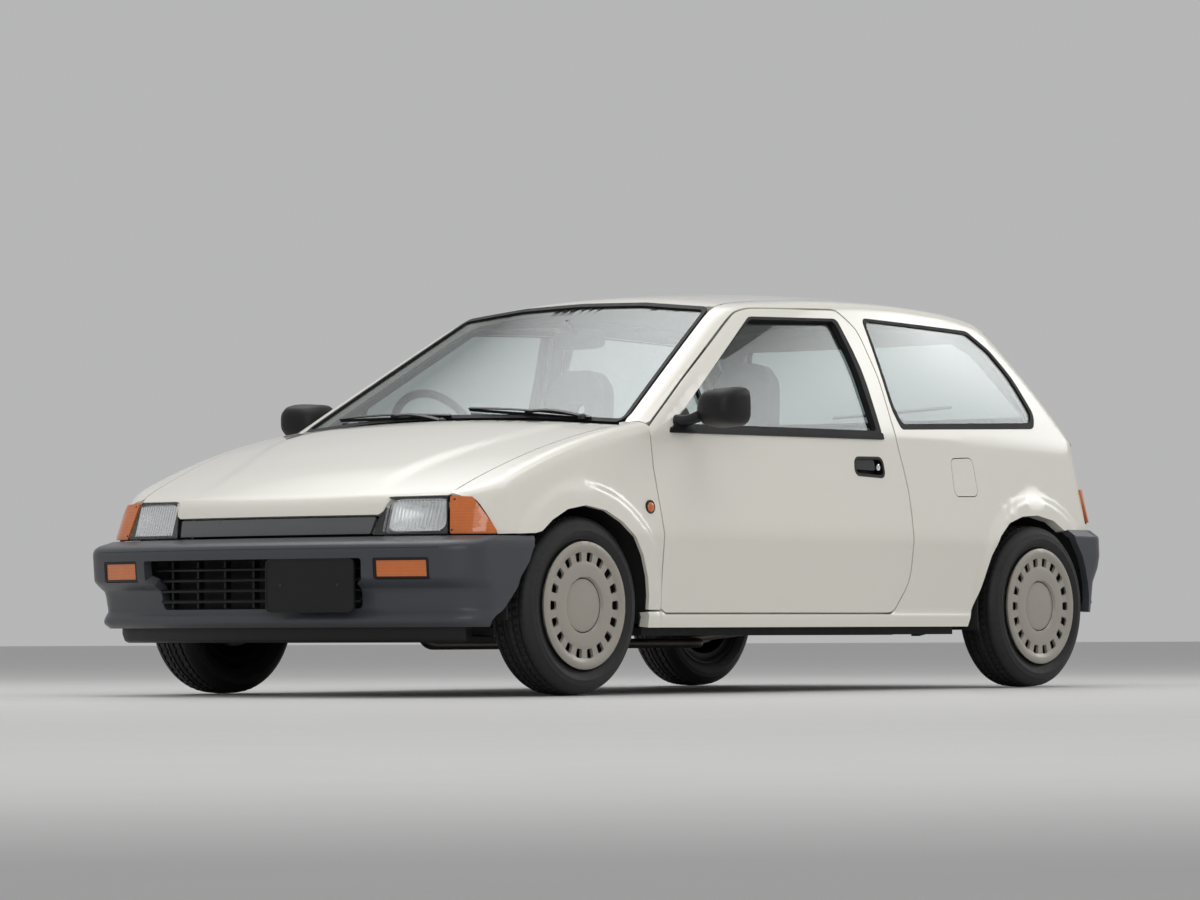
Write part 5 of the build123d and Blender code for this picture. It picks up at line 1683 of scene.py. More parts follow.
@dataclass
class Fittings:
    """Mirrors, handles, repeaters, cowl, wipers, roof ditch strips and arch liners."""

    shell: BodyShell
    head: Vector = Vector((0.0, 0.862, 0.879))

    def build(self) -> None:
        """Makes every fitting."""
        self.mirrors()
        self.handles()
        self.repeaters()
        self.cowl()
        self.wipers()
        self.ditches()
        self.liners()

    def mirrors(self) -> None:
        """Door mirrors: a sail, an arm, a rounded head and its glass."""
        cabin = self.shell.cabin
        sail = rounded([(0.668, 0.800, 0.006), (0.600, 0.846, 0.01), (0.545, 0.880, 0.006),
                        (0.538, 0.800, 0.006)])
        pair("mirror_sail", panel_mesh(cabin, sail, (), 0.02, 0.009, 0.02), DOOR_PAIR, Finish.BLACK,
             ["door_mirror"], 0.003)
        sections = []
        for x, width, height, power in (
            (0.607, 0.040, 0.030, 2.4), (0.603, 0.086, 0.064, 2.6), (0.592, 0.118, 0.090, 3.0),
            (0.572, 0.138, 0.107, 3.4), (0.545, 0.148, 0.117, 3.8), (0.515, 0.152, 0.121, 4.0),
            (0.490, 0.152, 0.121, 4.2), (0.485, 0.148, 0.117, 4.2), (0.486, 0.140, 0.109, 4.2),
            (0.497, 0.137, 0.106, 4.2),
        ):
            loop = oval(width, height, power, 56)
            lean = (0.607 - x) * 0.10
            rise = loop[:, 0] * 0.05
            sections.append(np.stack([x + loop[:, 0] * 0.10, self.head.y + lean * 0.2 + loop[:, 0],
                                      self.head.z + loop[:, 1] + rise], 1))
        pair("mirror_head", lofted(sections[::-1], 45), DOOR_PAIR, Finish.BLACK)
        loop = oval(0.134, 0.103, 4.2, 56)
        glass = [np.stack([x + loop[:, 0] * 0.10, self.head.y + 0.002 + loop[:, 0],
                           self.head.z + loop[:, 1] + loop[:, 0] * 0.05], 1) for x in (0.4935, 0.498)]
        pair("mirror_glass", lofted(glass), DOOR_PAIR, Finish.MIRROR)
        arm = []
        for t in np.linspace(0, 1, 9):
            loop = oval(0.062 - 0.020 * t, 0.040 - 0.010 * math.sin(math.pi * t), 3.0, 28)
            place = Vector((0.598 - 0.045 * t, 0.742 + 0.062 * t, 0.838 + 0.022 * t * t))
            arm.append(np.stack([place.x + loop[:, 0], np.full(28, place.y), place.z + loop[:, 1]], 1))
        pair("mirror_arm", lofted(arm), DOOR_PAIR, Finish.BLACK)

    def handles(self) -> None:
        """Recessed pull handles with a lock beside the flap."""
        cabin, hole = self.shell.cabin, rounded(self.shell.handle_hole)
        pair("handle_tray", panel_mesh(cabin, grown(hole, 0.004), (), 0.010, -0.030, 0.02), DOOR_PAIR,
             Finish.BLACK)
        pair("handle_frame", ring_on(cabin, hole, -0.005, 0.004, 0.032, 0.0015, 0.012), DOOR_PAIR,
             Finish.BLACK, (), 0.0012)
        flap = rounded([(-0.280, 0.707, 0.010), (-0.282, 0.738, 0.010), (-0.384, 0.740, 0.010),
                        (-0.386, 0.705, 0.010)])
        pair("handle_flap", panel_mesh(cabin, flap, (), 0.007, -0.003, 0.012), DOOR_PAIR,
             Finish.STALK, (), 0.002)
        spot = cabin.inset(np.array([-0.405]), np.array([0.716]), 0.006)[0]
        lock = lathed([(0.0004, -0.02), (0.0105, -0.02), (0.0105, 0.003), (0.0085, 0.004),
                                    (0.0080, 0.002), (0.0004, 0.002)], 36)
        pair("door_lock", placed(lock, spot), DOOR_PAIR, Finish.MIRROR)

    def repeaters(self) -> None:
        """Round amber repeaters on the fenders."""
        spot = self.shell.nose_side.at(np.array([0.799]), np.array([0.569]))[0]
        pair("repeater", placed(dome(0.0165, 0.010, 48), spot), ROOT_PAIR, Finish.AMBER)
        rim = lathed([(0.0162, -0.004), (0.0215, -0.004), (0.0215, 0.002), (0.0195, 0.004),
                                      (0.0162, 0.0035)], 56)
        pair("repeater_rim", placed(rim, spot), ROOT_PAIR, Finish.BLACK)

    def cowl(self) -> None:
        """The black cowl between hood and windshield, with louvres."""

        class Cowl(Surface):
            """The hood's line carried on to the glass, a little lower."""

            def at(self, a: Array, b: Array) -> Array:
                """Points over length and width."""
                return np.stack([a, b, hood_height(a, b) - 0.010], 1)

        y = np.linspace(-0.655, 0.655, 41)
        front = [(0.886 - 0.050 * (w / 0.697) ** 2, w) for w in y]
        rear = [(0.796 - 0.062 * (w / 0.65) ** 2, w) for w in y[::-1]]
        surface = Cowl()
        piece("cowl", panel_mesh(surface, front + rear, (), 0.012, 0.0, 0.03), "root", Finish.BLACK, (),
              0.002)
        ribs = []
        for start, stop in ((-0.47, -0.12), (0.12, 0.47)):
            for k in range(6):
                w = np.linspace(start, stop, 15)
                x = 0.872 - 0.008 * k - 0.050 * (w / 0.697) ** 2
                z = hood_height(x, w) - 0.0085
                ribs.append(swept(np.stack([x, w, z], 1), np.tile([0.0, 0.0, 1.0], (15, 1)),
                                  taper(0.0018, -0.002, 0.0012, 0.0018), False))
        piece("cowl_louvres", joined(ribs), "root", Finish.BLACK)

    def wipers(self) -> None:
        """Two windshield wipers, parked, each with an arm, bridge and rubber blade."""
        glass = GlassFace(True)
        parts = []
        for pivot, elbow, start, stop in ((0.515, 0.29, 0.545, 0.045), (-0.010, -0.26, 0.000, -0.520)):
            y = np.linspace(start, stop, 50)
            share = np.linspace(0, 1, 50)
            first, last = 0.862 - 0.020 * (start / 0.545) ** 2, 0.884 - 0.018 * (stop / 0.52) ** 2
            z = first * (1 - share) + last * share
            ups = glass.normal(y, z)
            parts.append(swept(glass.inset(y, z, -0.005), ups,
                               taper(0.003, -0.005, 0.0015, 0.004), False))
            bow = 0.008 * np.sin(math.pi * share)
            parts.append(swept(glass.inset(y, z, -0.010 - bow), ups,
                               taper(0.004, -0.0016, 0.004, 0.0016), False))
            middle = float(np.interp(elbow, y[::-1], z[::-1]))
            y = np.linspace(pivot, elbow, 24)
            share = np.linspace(0, 1, 24)
            z = 0.843 * (1 - share) + middle * share
            lift = 0.012 + 0.012 * np.sin(math.pi * share)
            parts.append(swept(glass.inset(y, z, -lift), glass.normal(y, z),
                               taper(0.0065, -0.003, 0.0050, 0.003), False))
            spot = glass.inset(np.array([pivot]), np.array([0.843]), -0.006)[0]
            parts.append(placed(placed(dome(0.015, 0.014, 32), (0, 0, 0), 90, "X"), spot))
        piece("wipers", joined(parts), "root", Finish.STALK)

    def ditches(self) -> None:
        """Slim black strips in the roof's two long seams."""
        top = TopSurface()
        x = np.linspace(0.075, -1.165, 50)
        y = np.full(50, 0.5005)
        path = top.inset(x, y, 0.0025)
        strip = swept(path, top.normal(x, y), taper(0.0035, -0.004, 0.0030, 0.0022), False)
        pair("roof_ditch", strip, ROOT_PAIR, Finish.SEAL)

    def liners(self) -> None:
        """Black liners inside the wheel arches."""
        for stem, axle, inner in (("front_liner", FRONT_AXLE, 0.430), ("rear_liner", REAR_AXLE, 0.520)):
            start, stop = (-6, 188) if axle > 0 else (-12, 177)
            t = np.linspace(math.radians(start), math.radians(stop), 60)
            path = np.stack([axle + 0.333 * np.cos(t), np.full(60, (inner + 0.762) / 2),
                             0.262 + 0.333 * np.sin(t)], 1)
            ups = np.stack([np.cos(t), np.zeros(60), np.sin(t)], 1)
            half = (0.762 - inner) / 2
            tunnel = swept(path, ups, taper(half, 0.0, half, 0.004), False)
            disc = [(axle + 0.335 * math.cos(a), 0.262 + 0.335 * math.sin(a)) for a in t]
            wall = prism(disc, inner - 0.004, inner)
            pair(stem, joined([tunnel, wall]), ROOT_PAIR, Finish.UNDERSEAL)


# ---------------------------------------------------------------------------
# Wheels
# ---------------------------------------------------------------------------


class CoverFace(Surface):
    """The dished face of a wheel cover, over length and height from the axle."""

    radii = (0.0, 0.081, 0.085, 0.100, 0.122, 0.131, 0.160, 0.168, 0.176, 0.184, 0.188)
    faces = (0.076, 0.0745, 0.072, 0.0735, 0.0725, 0.0700, 0.0700, 0.0735, 0.0780, 0.0765, 0.0730)

    def at(self, a: Array, b: Array) -> Array:
        """Points over length and height."""
        return np.stack([a, np.interp(np.hypot(a, b), self.radii, self.faces), b], 1)


@dataclass
class Wheels:
    """Tyres, steel rims, vented covers and brakes."""

    vents: int = 18
    vent_inner: float = 0.129
    vent_outer: float = 0.164
    vent_half: float = 0.0152
    blocks: int = 64

    def build(self) -> None:
        """Makes the four wheels."""
        sets = {
            "tyre": (self.tyre(), Finish.TYRE, "tyre", 0.0), "rim": (self.rim(), Finish.STALK, "wheel", 0.0),
            "cover": (self.cover(), Finish.COVER, None, 0.0008), "cap": (self.cap(), Finish.COVER, None, 0.0),
            "valve": (self.valve(), Finish.BLACK, None, 0.0), "drum": (self.drum(), Finish.ROTOR, None, 0.0),
        }
        for place, axle in (("front", FRONT_AXLE), ("rear", REAR_AXLE)):
            for side, hand in SIDES:
                for part, (mesh, finish, node, bevel) in sets.items():
                    name = f"{part}_{place}_{side}_piece"
                    own = mesh.copy() if hand > 0 else mirrored(mesh)
                    placed(own, (axle, hand * HALF_TRACK, TYRE_RADIUS))
                    nodes = [f"{node}_{place}_{side}"] if node else []
                    piece(name, own, f"{place}_wheel_{side}", finish, nodes, bevel)

    def tyre(self) -> Mesh:
        """A tyre with a grooved, blocked tread and moulded rings on its walls."""
        half = [(0.1835, 0.0560), (0.1885, 0.0610), (0.1925, 0.0655), (0.1990, 0.0700), (0.2000, 0.0722),
                (0.2020, 0.0716), (0.2100, 0.0765), (0.2190, 0.0800), (0.2230, 0.0815), (0.2245, 0.0822),
                (0.2280, 0.0815), (0.2370, 0.0795), (0.2400, 0.0792), (0.2410, 0.0780), (0.2480, 0.0745),
                (0.2545, 0.0700)]
        tread = [(0.2625, 0.0620), (0.2660, 0.0545), (0.2668, 0.0480), (0.2605, 0.0465), (0.2605, 0.0415),
                 (0.2680, 0.0400), (0.2690, 0.0230), (0.2622, 0.0215), (0.2622, 0.0165), (0.2695, 0.0150),
                 (0.2698, 0.0060), (0.2660, 0.0052), (0.2660, 0.0030)]
        wall, crown = len(half), len(tread)
        side = half + tread
        profile = side + [(r, -h) for r, h in side[::-1]] + [(0.186, -0.050), (0.186, 0.050)]
        steps = self.blocks * 3
        points = []
        for i in range(steps):
            t = 2 * math.pi * i / steps
            for j, (r, h) in enumerate(profile):
                on_tread = wall <= j < wall + 2 * crown
                row = abs(h)
                blocked = row > 0.0398 or 0.0148 < row < 0.0235
                cut = on_tread and blocked and (i + (h > 0)) % 3 == 0
                turn = t + (0.55 * h if on_tread else 0.0)
                low = min(r, 0.2635) if cut else r
                points.append((low * math.cos(turn), h, low * math.sin(turn)))
        return make_mesh(np.array(points), grid_faces(steps, len(profile), True, True), 30)

    def rim(self) -> Mesh:
        """A pressed steel wheel: barrel, flanges and disc."""
        return lathed([
            (0.012, 0.030), (0.058, 0.030), (0.070, 0.022), (0.104, 0.034), (0.128, 0.040), (0.146, 0.030),
            (0.152, 0.018), (0.153, 0.050), (0.158, 0.057), (0.178, 0.060), (0.184, 0.067), (0.1905, 0.068),
            (0.1925, 0.064), (0.1860, 0.0585), (0.1845, 0.050), (0.182, -0.050), (0.186, -0.058),
            (0.1925, -0.064), (0.1905, -0.068), (0.184, -0.066), (0.178, -0.060), (0.158, -0.056),
            (0.150, -0.045), (0.147, 0.012), (0.140, 0.026), (0.124, 0.034), (0.104, 0.028), (0.070, 0.014),
            (0.058, 0.024), (0.012, 0.024),
        ], 96)

    def vent(self, turn: float) -> Loop:
        """One vent: straight outer edge, rounded inner end."""
        w = self.vent_half
        shape = rounded([(-w, self.vent_outer, 0.007), (w, self.vent_outer, 0.007),
                         (w * 0.78, self.vent_inner, 0.0095), (-w * 0.78, self.vent_inner, 0.0095)])
        c, s = math.cos(turn), math.sin(turn)
        return [(x * c - y * s, x * s + y * c) for x, y in shape]

    def cover(self) -> Mesh:
        """The cover's ring, with its vents cut through."""
        holes = [circle(0.0825, 80)]
        holes += [self.vent(2 * math.pi * (k + 0.5) / self.vents) for k in range(self.vents)]
        return panel_mesh(CoverFace(), circle(0.188, 120), holes, 0.010, 0.0, 0.009, 0.0002)

    def cap(self) -> Mesh:
        """The plain domed cap in the cover's middle."""
        return lathed([(0.0004, 0.0785), (0.030, 0.0782), (0.060, 0.0770), (0.074, 0.0758), (0.0795, 0.0742),
                                   (0.0806, 0.0715), (0.0806, 0.062), (0.0004, 0.062)], 96)

    def valve(self) -> Mesh:
        """The valve stem in one of the vents."""
        mesh = lathed([(0.0004, 0.050), (0.0042, 0.050), (0.0042, 0.064), (0.0034, 0.072), (0.0004, 0.073)],
                      20)
        return placed(mesh, (0.148 * math.sin(0.17), 0, 0.148 * math.cos(0.17)))

    def drum(self) -> Mesh:
        """The brake drum inside the wheel."""
        return lathed([(0.040, -0.055), (0.118, -0.055), (0.122, -0.050), (0.122, -0.040), (0.117, -0.036),
                                    (0.117, 0.004), (0.108, 0.012), (0.040, 0.016)], 72)


# ---------------------------------------------------------------------------
# Cabin
# ---------------------------------------------------------------------------


PAD_PRESSURE = 4.0
PAD_FRAMES = 20


def stuffed(mesh: Mesh, swell: float, voxel: float = 0.007) -> Mesh:
    """A padded form, blown up gently as cloth over foam.

    Args:
        mesh: The plain form, a little smaller than the pad.
        swell: The most that a point may move.
        voxel: The size of the cloth's cells.

    Returns:
        The padded mesh.
    """
    scene = bpy.context.scene
    source = bpy.data.objects.new("form", mesh)
    scene.collection.objects.link(source)
    cells = source.modifiers.new("cells", "REMESH")
    cells.mode, cells.voxel_size, cells.use_smooth_shade = "VOXEL", voxel, True
    graph = bpy.context.evaluated_depsgraph_get()
    skin = bpy.data.meshes.new_from_object(source.evaluated_get(graph))
    bpy.data.objects.remove(source)
    pad = bpy.data.objects.new("pad", skin)
    scene.collection.objects.link(pad)
    cloth = pad.modifiers.new("cover", "CLOTH")
    cloth.settings.quality = 4
    cloth.settings.use_pressure = True
    cloth.settings.uniform_pressure_force = PAD_PRESSURE
    cloth.settings.effector_weights.gravity = 0.0
    for step in range(1, PAD_FRAMES + 1):
        scene.frame_set(step)
    graph = bpy.context.evaluated_depsgraph_get()
    blown = pad.evaluated_get(graph).to_mesh()
    start = np.array([v.co for v in skin.vertices])
    push = np.array([v.co for v in blown.vertices]) - start
    length = np.linalg.norm(push, axis=1, keepdims=True)
    push *= np.minimum(1.0, swell / np.maximum(length, 1e-9))
    skin.vertices.foreach_set("co", (start + push).ravel())
    bpy.data.objects.remove(pad)
    scene.frame_set(1)
    return skin


def cushion(outline: Loop, half: float, crown: float = 0.0) -> Mesh:
    """A pad's plain form: a side outline carried across the seat, drawn in at its ends."""
    loop = divided(outline, 0.02)
    centre = loop.mean(0)
    sections = []
    for t in (-1.0, -0.985, -0.94, -0.80, -0.5, 0.0, 0.5, 0.80, 0.94, 0.985, 1.0):
        draw = 1 - 0.30 * max(0.0, (abs(t) - 0.90) / 0.10) ** 2
        shape = centre + (loop - centre) * draw
        lift = crown * (abs(t) ** 3) * (shape[:, 1] > centre[1])
        sections.append(np.stack([shape[:, 0], np.full(len(shape), t * half), shape[:, 1] + lift], 1))
    return lofted(sections)


def seam(skin: Mesh, points: Array, radius: float = 0.0022) -> Mesh:
    """A piped seam laid on a pad along the nearest points of its skin."""
    holder = bpy.data.objects.new("holder", skin)
    bpy.context.scene.collection.objects.link(holder)
    bpy.context.view_layer.update()
    path, ups = [], []
    for point in points:
        _, place, normal, _ = holder.closest_point_on_mesh(Vector(point))
        path.append(place)
        ups.append(normal)
    bpy.data.objects.remove(holder)
    path, ups = (np.array([tuple(v) for v in vectors]) for vectors in (path, ups))
    return swept(path, ups, circle(radius, 8), False)


class HeadrestFace(Surface):
    """The leaning front of a headrest, over width and height."""

    def at(self, a: Array, b: Array) -> Array:
        """Points over width and height."""
        return np.stack([-0.214 - 0.10 * (b - 0.85) - 0.25 * a * a, a, b], 1)


@dataclass
class Seats:
    """Front seats with arch headrests, and the rear bench."""

    centre: float = 0.345
    half: float = 0.236
    bench_half: float = 0.545
    cushion_outline: Loop = field(default_factory=lambda: [
        (0.405, 0.350, 0.03), (0.418, 0.425, 0.045), (0.300, 0.446, 0.20), (0.020, 0.424, 0.10),
        (-0.045, 0.420, 0.03), (-0.045, 0.350, 0.03),
    ])
    back_outline: Loop = field(default_factory=lambda: [
        (-0.070, 0.440, 0.03), (-0.150, 0.660, 0.30), (-0.208, 0.838, 0.03), (-0.278, 0.836, 0.03),
        (-0.245, 0.640, 0.30), (-0.165, 0.430, 0.03),
    ])

    def build(self) -> None:
        """Makes the seats."""
        self.front()
        self.rear()

    def front(self) -> None:
        """The two front seats."""
        low = stuffed(cushion(rounded(self.cushion_outline), self.half, 0.014), 0.016)
        high = stuffed(cushion(rounded(self.back_outline), self.half * 0.96), 0.016)
        x = np.linspace(0.40, -0.03, 24)
        z = np.linspace(0.838, 0.47, 24)
        low_seams, high_seams = [], []
        for y in (-0.135, 0.135):
            low_seams.append(seam(low, np.stack([x, np.full(24, y), np.full(24, 0.50)], 1)))
            high_seams.append(seam(high, np.stack([0.02 - 0.42 * (z - 0.45), np.full(24, y), z], 1)))
        face = HeadrestFace()
        outline = rounded([(-0.122, 0.850, 0.02), (0.122, 0.850, 0.02), (0.114, 1.000, 0.06),
                           (0.066, 1.056, 0.05), (-0.066, 1.056, 0.05), (-0.114, 1.000, 0.06)])
        hole = rounded([(-0.046, 0.866, 0.01), (0.046, 0.866, 0.01), (0.034, 0.946, 0.02),
                        (-0.034, 0.946, 0.02)])
        rest = panel_mesh(face, outline, [hole], 0.056, 0.0, 0.02)
        frame_mesh = cushion(rounded([(0.36, 0.262, 0.01), (0.38, 0.345, 0.02), (-0.03, 0.345, 0.02),
                                                   (-0.05, 0.262, 0.01)]), 0.21)
        for side, hand in SIDES:
            parts = (
                (f"front_cushion_{side}", low, Finish.CLOTH, 0.0, ["front_seats"] if hand > 0 else []),
                (f"front_back_{side}", high, Finish.CLOTH, 0.0, []),
                (f"headrest_{side}", rest, Finish.CLOTH, 0.016, []),
                (f"cushion_seams_{side}", joined(low_seams), Finish.SEAL, 0.0, []),
                (f"back_seams_{side}", joined(high_seams), Finish.SEAL, 0.0, []),
                (f"seat_base_{side}", frame_mesh, Finish.STEEL, 0.0, []),
            )
            for name, mesh, finish, bevel, nodes in parts:
                own = placed(mesh.copy(), (0, hand * self.centre, 0))
                made = piece(name, own, "root", finish, nodes, bevel, 4)

    def rear(self) -> None:
        """The rear bench."""
        low_outline = rounded([(-0.650, 0.392, 0.02), (-0.636, 0.440, 0.03), (-1.030, 0.458, 0.05),
                               (-1.110, 0.400, 0.02)])
        high_outline = rounded([(-1.050, 0.480, 0.02), (-1.186, 0.825, 0.02), (-1.236, 0.815, 0.02),
                                (-1.118, 0.450, 0.02)])
        for name, outline, nodes in (("rear_cushion", low_outline, ["rear_seat"]),
                                     ("rear_back", high_outline, [])):
            mesh = stuffed(cushion(outline, self.bench_half), 0.013, 0.012)
            made = piece(name, mesh, "root", Finish.CLOTH, nodes)
        shelf = prism([(-1.235, 0.806), (-1.235, 0.818), (-1.560, 0.790), (-1.560, 0.778)], -0.555, 0.555)
        piece("parcel_shelf", shelf, "root", Finish.CARPET, (), 0.004)


@dataclass
class Cockpit:
    """Instrument hood, vents, steering wheel, column, levers and driving mirror."""

    wheel_centre: Vector = Vector((0.480, -0.345, 0.792))
    tilt: float = 24.0
    wheel_radius: float = 0.178

    def build(self) -> None:
        """Makes the driver's surroundings."""
        self.wheel()
        self.instruments()
        self.levers()
        self.mirror()

    def wheel(self) -> None:
        """The steering wheel: padded rim, two broad spokes and a boss."""
        steps = np.linspace(0, 2 * math.pi, 72, endpoint=False)
        path = np.stack([self.wheel_radius * np.cos(steps), np.zeros(72), self.wheel_radius * np.sin(steps)],
                        1)
        ups = np.tile([0.0, 1.0, 0.0], (72, 1))
        ring = [(0.0135 * math.cos(t), 0.0125 * math.sin(t)) for t in np.linspace(0, 2 * math.pi, 14,
            endpoint=False)]
        parts = [swept(path, ups, ring, True)]
        for hand in (1, -1):
            sections = []
            for t in np.linspace(0, 1, 8):
                r = 0.040 + (self.wheel_radius - 0.044) * t
                shape = oval(0.050 - 0.016 * t, 0.016, 3.0, 20)
                sections.append(np.stack([np.full(20, hand * r), -0.030 * (1 - t) ** 2 + shape[:, 1],
                                          -0.020 + shape[:, 0]], 1))
            parts.append(lofted(sections[::hand]))
        boss = []
        for depth, scale in ((-0.055, 0.55), (-0.045, 0.80), (-0.020, 1.0), (-0.006, 0.97), (0.0, 0.88)):
            shape = oval(0.135 * scale, 0.095 * scale, 3.2, 40)
            boss.append(np.stack([shape[:, 0], np.full(40, depth - 0.004), -0.012 + shape[:, 1]], 1))
        parts.append(lofted(boss))
        mesh = joined(parts)
        turn = math.radians(self.tilt)
        axle = Vector((-math.cos(turn), 0, math.sin(turn)))
        across = Vector((0, -1, 0))
        above = axle.cross(across) * -1
        matrix = Matrix((
            (across.x, axle.x, above.x, self.wheel_centre.x),
            (across.y, axle.y, above.y, self.wheel_centre.y),
            (across.z, axle.z, above.z, self.wheel_centre.z), (0, 0, 0, 1),
        ))
        piece("steering_wheel_rim", moved(mesh, matrix), "steering_wheel", Finish.DASH, ["steering_wheel"])
        column = []
        for t in np.linspace(0, 1, 6):
            shape = oval(0.082 + 0.02 * t, 0.088 + 0.02 * t, 3.0, 28)
            place = self.wheel_centre - axle * (0.072 + 0.10 * t)
            column.append(np.array([tuple(place + across * a + above * b) for a, b in shape]))
        piece("column_cover", lofted(column), "root", Finish.DASH)

    def instruments(self) -> None:
        """The hood over the dials, the dials, vents and a small stack of controls."""
        hood = []
        for x, width, height in ((0.560, 0.290, 0.074), (0.566, 0.302, 0.084), (0.600, 0.306, 0.088),
                                 (0.660, 0.290, 0.074), (0.715, 0.230, 0.030)):
            shape = oval(width, height, 4.5, 44)
            hood.append(np.stack([np.full(44, x), -0.345 + shape[:, 0], 0.842 + shape[:, 1] * 0.8], 1))
        piece("dial_hood", lofted(hood[::-1]), "root", Finish.DASH)
        dials = [placed(placed(dome(0.030, 0.002, 40), (0, 0, 0), 90), (0.5585, y, 0.842))
                 for y in (-0.420, -0.345, -0.270)]
        piece("dials", joined(dials), "root", Finish.STALK)
        fins = []
        for y in (-0.565, -0.110, 0.060, 0.545):
            fins += [brick((0.556, y - 0.048, 0.786 + 0.010 * k), (0.575, y + 0.048, 0.789 + 0.010 * k))
                     for k in range(4)]
            fins += [brick((0.553, y - 0.055, z), (0.572, y + 0.055, z + 0.004)) for z in (0.777, 0.825)]
        piece("dash_vents", joined(fins), "root", Finish.BLACK, (), 0.001)
        keys = [brick((0.560, -0.115, 0.685), (0.580, 0.075, 0.765))]
        keys += [brick((0.553, -0.105 + 0.03 * k, 0.735),
                       (0.566, -0.083 + 0.03 * k, 0.755)) for k in range(6)]
        piece("control_panel", joined(keys), "root", Finish.BLACK, (), 0.002)

    def levers(self) -> None:
        """The gear lever with its boot and knob, and the handbrake."""
        boot = []
        for z, size in ((0.345, 0.13), (0.365, 0.10), (0.380, 0.085), (0.400, 0.045), (0.430, 0.026),
                        (0.500, 0.018), (0.520, 0.020), (0.532, 0.038), (0.550, 0.044), (0.566, 0.038),
                        (0.572, 0.016)):
            shape = oval(size, size * 0.8, 2.6, 28)
            boot.append(np.stack([0.36 + (z - 0.345) * 0.12 + shape[:, 0], shape[:, 1], np.full(28, z)], 1))
        piece("gear_lever", lofted(boot), "root", Finish.BLACK)
        brake = []
        for t in np.linspace(0, 1, 10):
            size = 0.030 if t < 0.55 else 0.036
            shape = oval(size, size, 2.4, 20)
            brake.append(np.stack([np.full(20, -0.20 + 0.30 * t), shape[:, 0],
                                   0.355 + 0.095 * t + shape[:, 1]], 1))
        piece("handbrake", lofted(brake), "root", Finish.BLACK)

    def mirror(self) -> None:
        """The driving mirror under the windshield's header."""
        parts = []
        for x, scale in ((0.196, 0.80), (0.190, 0.96), (0.176, 1.0), (0.170, 0.97)):
            shape = oval(0.220 * scale, 0.062 * scale, 4.5, 40)
            parts.append(np.stack([x + shape[:, 0] * 0.05, shape[:, 0], 1.128 + shape[:, 1]], 1))
        stem = [np.stack([0.186 + 0.050 * t + s[:, 0], s[:, 1], np.full(16, 1.140 + 0.052 * t)], 1)
                for t, s in ((t, oval(0.016, 0.016, 2, 16)) for t in (0.0, 0.5, 1.0))]
        body = joined([lofted(parts), lofted(stem)])
        piece("driving_mirror", body, "root", Finish.BLACK)
        shape = oval(0.204, 0.050, 4.5, 40)
        glass = [np.stack([x + shape[:, 0] * 0.05, shape[:, 0], 1.128 + shape[:, 1]], 1) for x in (0.1675,
            0.170)]
        piece("driving_mirror_glass", lofted(glass), "root", Finish.MIRROR)


@dataclass
class Trim:
    """Door cards, pillar and side trims, headlining and carpet."""

    shell: BodyShell

    def build(self) -> None:
        """Makes the cabin's linings."""
        shell = self.shell
        card = rounded([(0.700, 0.300, 0.02), (0.700, 0.792, 0.02), (-0.478, 0.792, 0.02),
                        (-0.510, 0.640, 0.3), (-0.500, 0.400, 0.1), (-0.430, 0.300, 0.04)])
        pair("door_card", panel_mesh(shell.cabin, card, (), 0.006, -0.083, 0.05), DOOR_PAIR, Finish.DASH,
             (), 0.002)
        rest = []
        for t in np.linspace(0, 1, 12):
            shape = oval(0.052, 0.052 - 0.012 * abs(t - 0.5), 3.4, 24)
            x = 0.26 - 0.50 * t
            rest.append(np.stack([np.full(24, x), 0.674 + shape[:, 0], 0.605 + 0.020 * t + shape[:, 1]], 1))
        pair("armrest", lofted(rest), DOOR_PAIR, Finish.DASH)
        crank = joined([
            placed(dome(0.026, 0.018, 32), (0.32, 0.0, 0.52), 0),
            brick((0.225, 0.010, 0.510), (0.325, 0.020, 0.530)),
            placed(dome(0.012, 0.030, 24), (0.232, 0.012, 0.520), 0),
        ])
        crank.transform(Matrix.Translation(Vector((0, 0.698, 0))) @ Matrix.Scale(-1, 4, (0, 1, 0)))
        crank.flip_normals()
        pair("window_crank", crank, DOOR_PAIR, Finish.BLACK, (), 0.002)
        frame_card = rounded(shell.door_window)
        upper = [p for p in rounded(shell.door) if p[1] > 0.80]
        pair("door_frame_trim", panel_mesh(shell.cabin, grown(upper, -0.010), [grown(frame_card, 0.004)],
             0.003, -0.041, 0.05), DOOR_PAIR, Finish.DASH)
        lining = panel_mesh(TopSurface(), [
            (0.050, -0.440), (0.095, 0.0), (0.050, 0.440), (-0.10, 0.490), (-1.165, 0.490), (-1.165, -0.490),
            (-0.10, -0.490),
        ], (), 0.006, -0.032, 0.05)
        piece("roof_lining", lining, "root", Finish.LINING)
        outline = [(x, z) for x, z in shell.side_outline() if not (x < -0.85 and z < 0.60)]
        window = grown(rounded(shell.quarter_window), 0.004)
        trim = panel_mesh(shell.cabin, outline, [window], 0.003, -0.0355, 0.05, 0.002)
        pair("side_trim", trim, ROOT_PAIR, Finish.DASH)
        self.carpet()

    def carpet(self) -> None:
        """The carpet, laid a little above the floor panel."""
        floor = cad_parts["floor_pan"]

        class Laid(Surface):
            """The floor's height, found by feeling down from above."""

            def at(self, a: Array, b: Array) -> Array:
                """Points over length and width."""
                heights = []
                for x, y in zip(a, b):
                    hit, place, _, _ = floor.ray_cast(Vector((x, y, 0.60)), Vector((0, 0, -1)))
                    heights.append(place.z if hit else 0.235)
                return np.stack([a, b, np.array(heights)], 1)

        spread = panel_mesh(Laid(), [(0.690, -0.600), (0.690, 0.600), (-0.600, 0.640), (-0.600, -0.640)], (),
                            0.003, 0.007, 0.06, 0.01)
        piece("carpet", spread, "root", Finish.CARPET)


# ---------------------------------------------------------------------------
# Studio
# ---------------------------------------------------------------------------


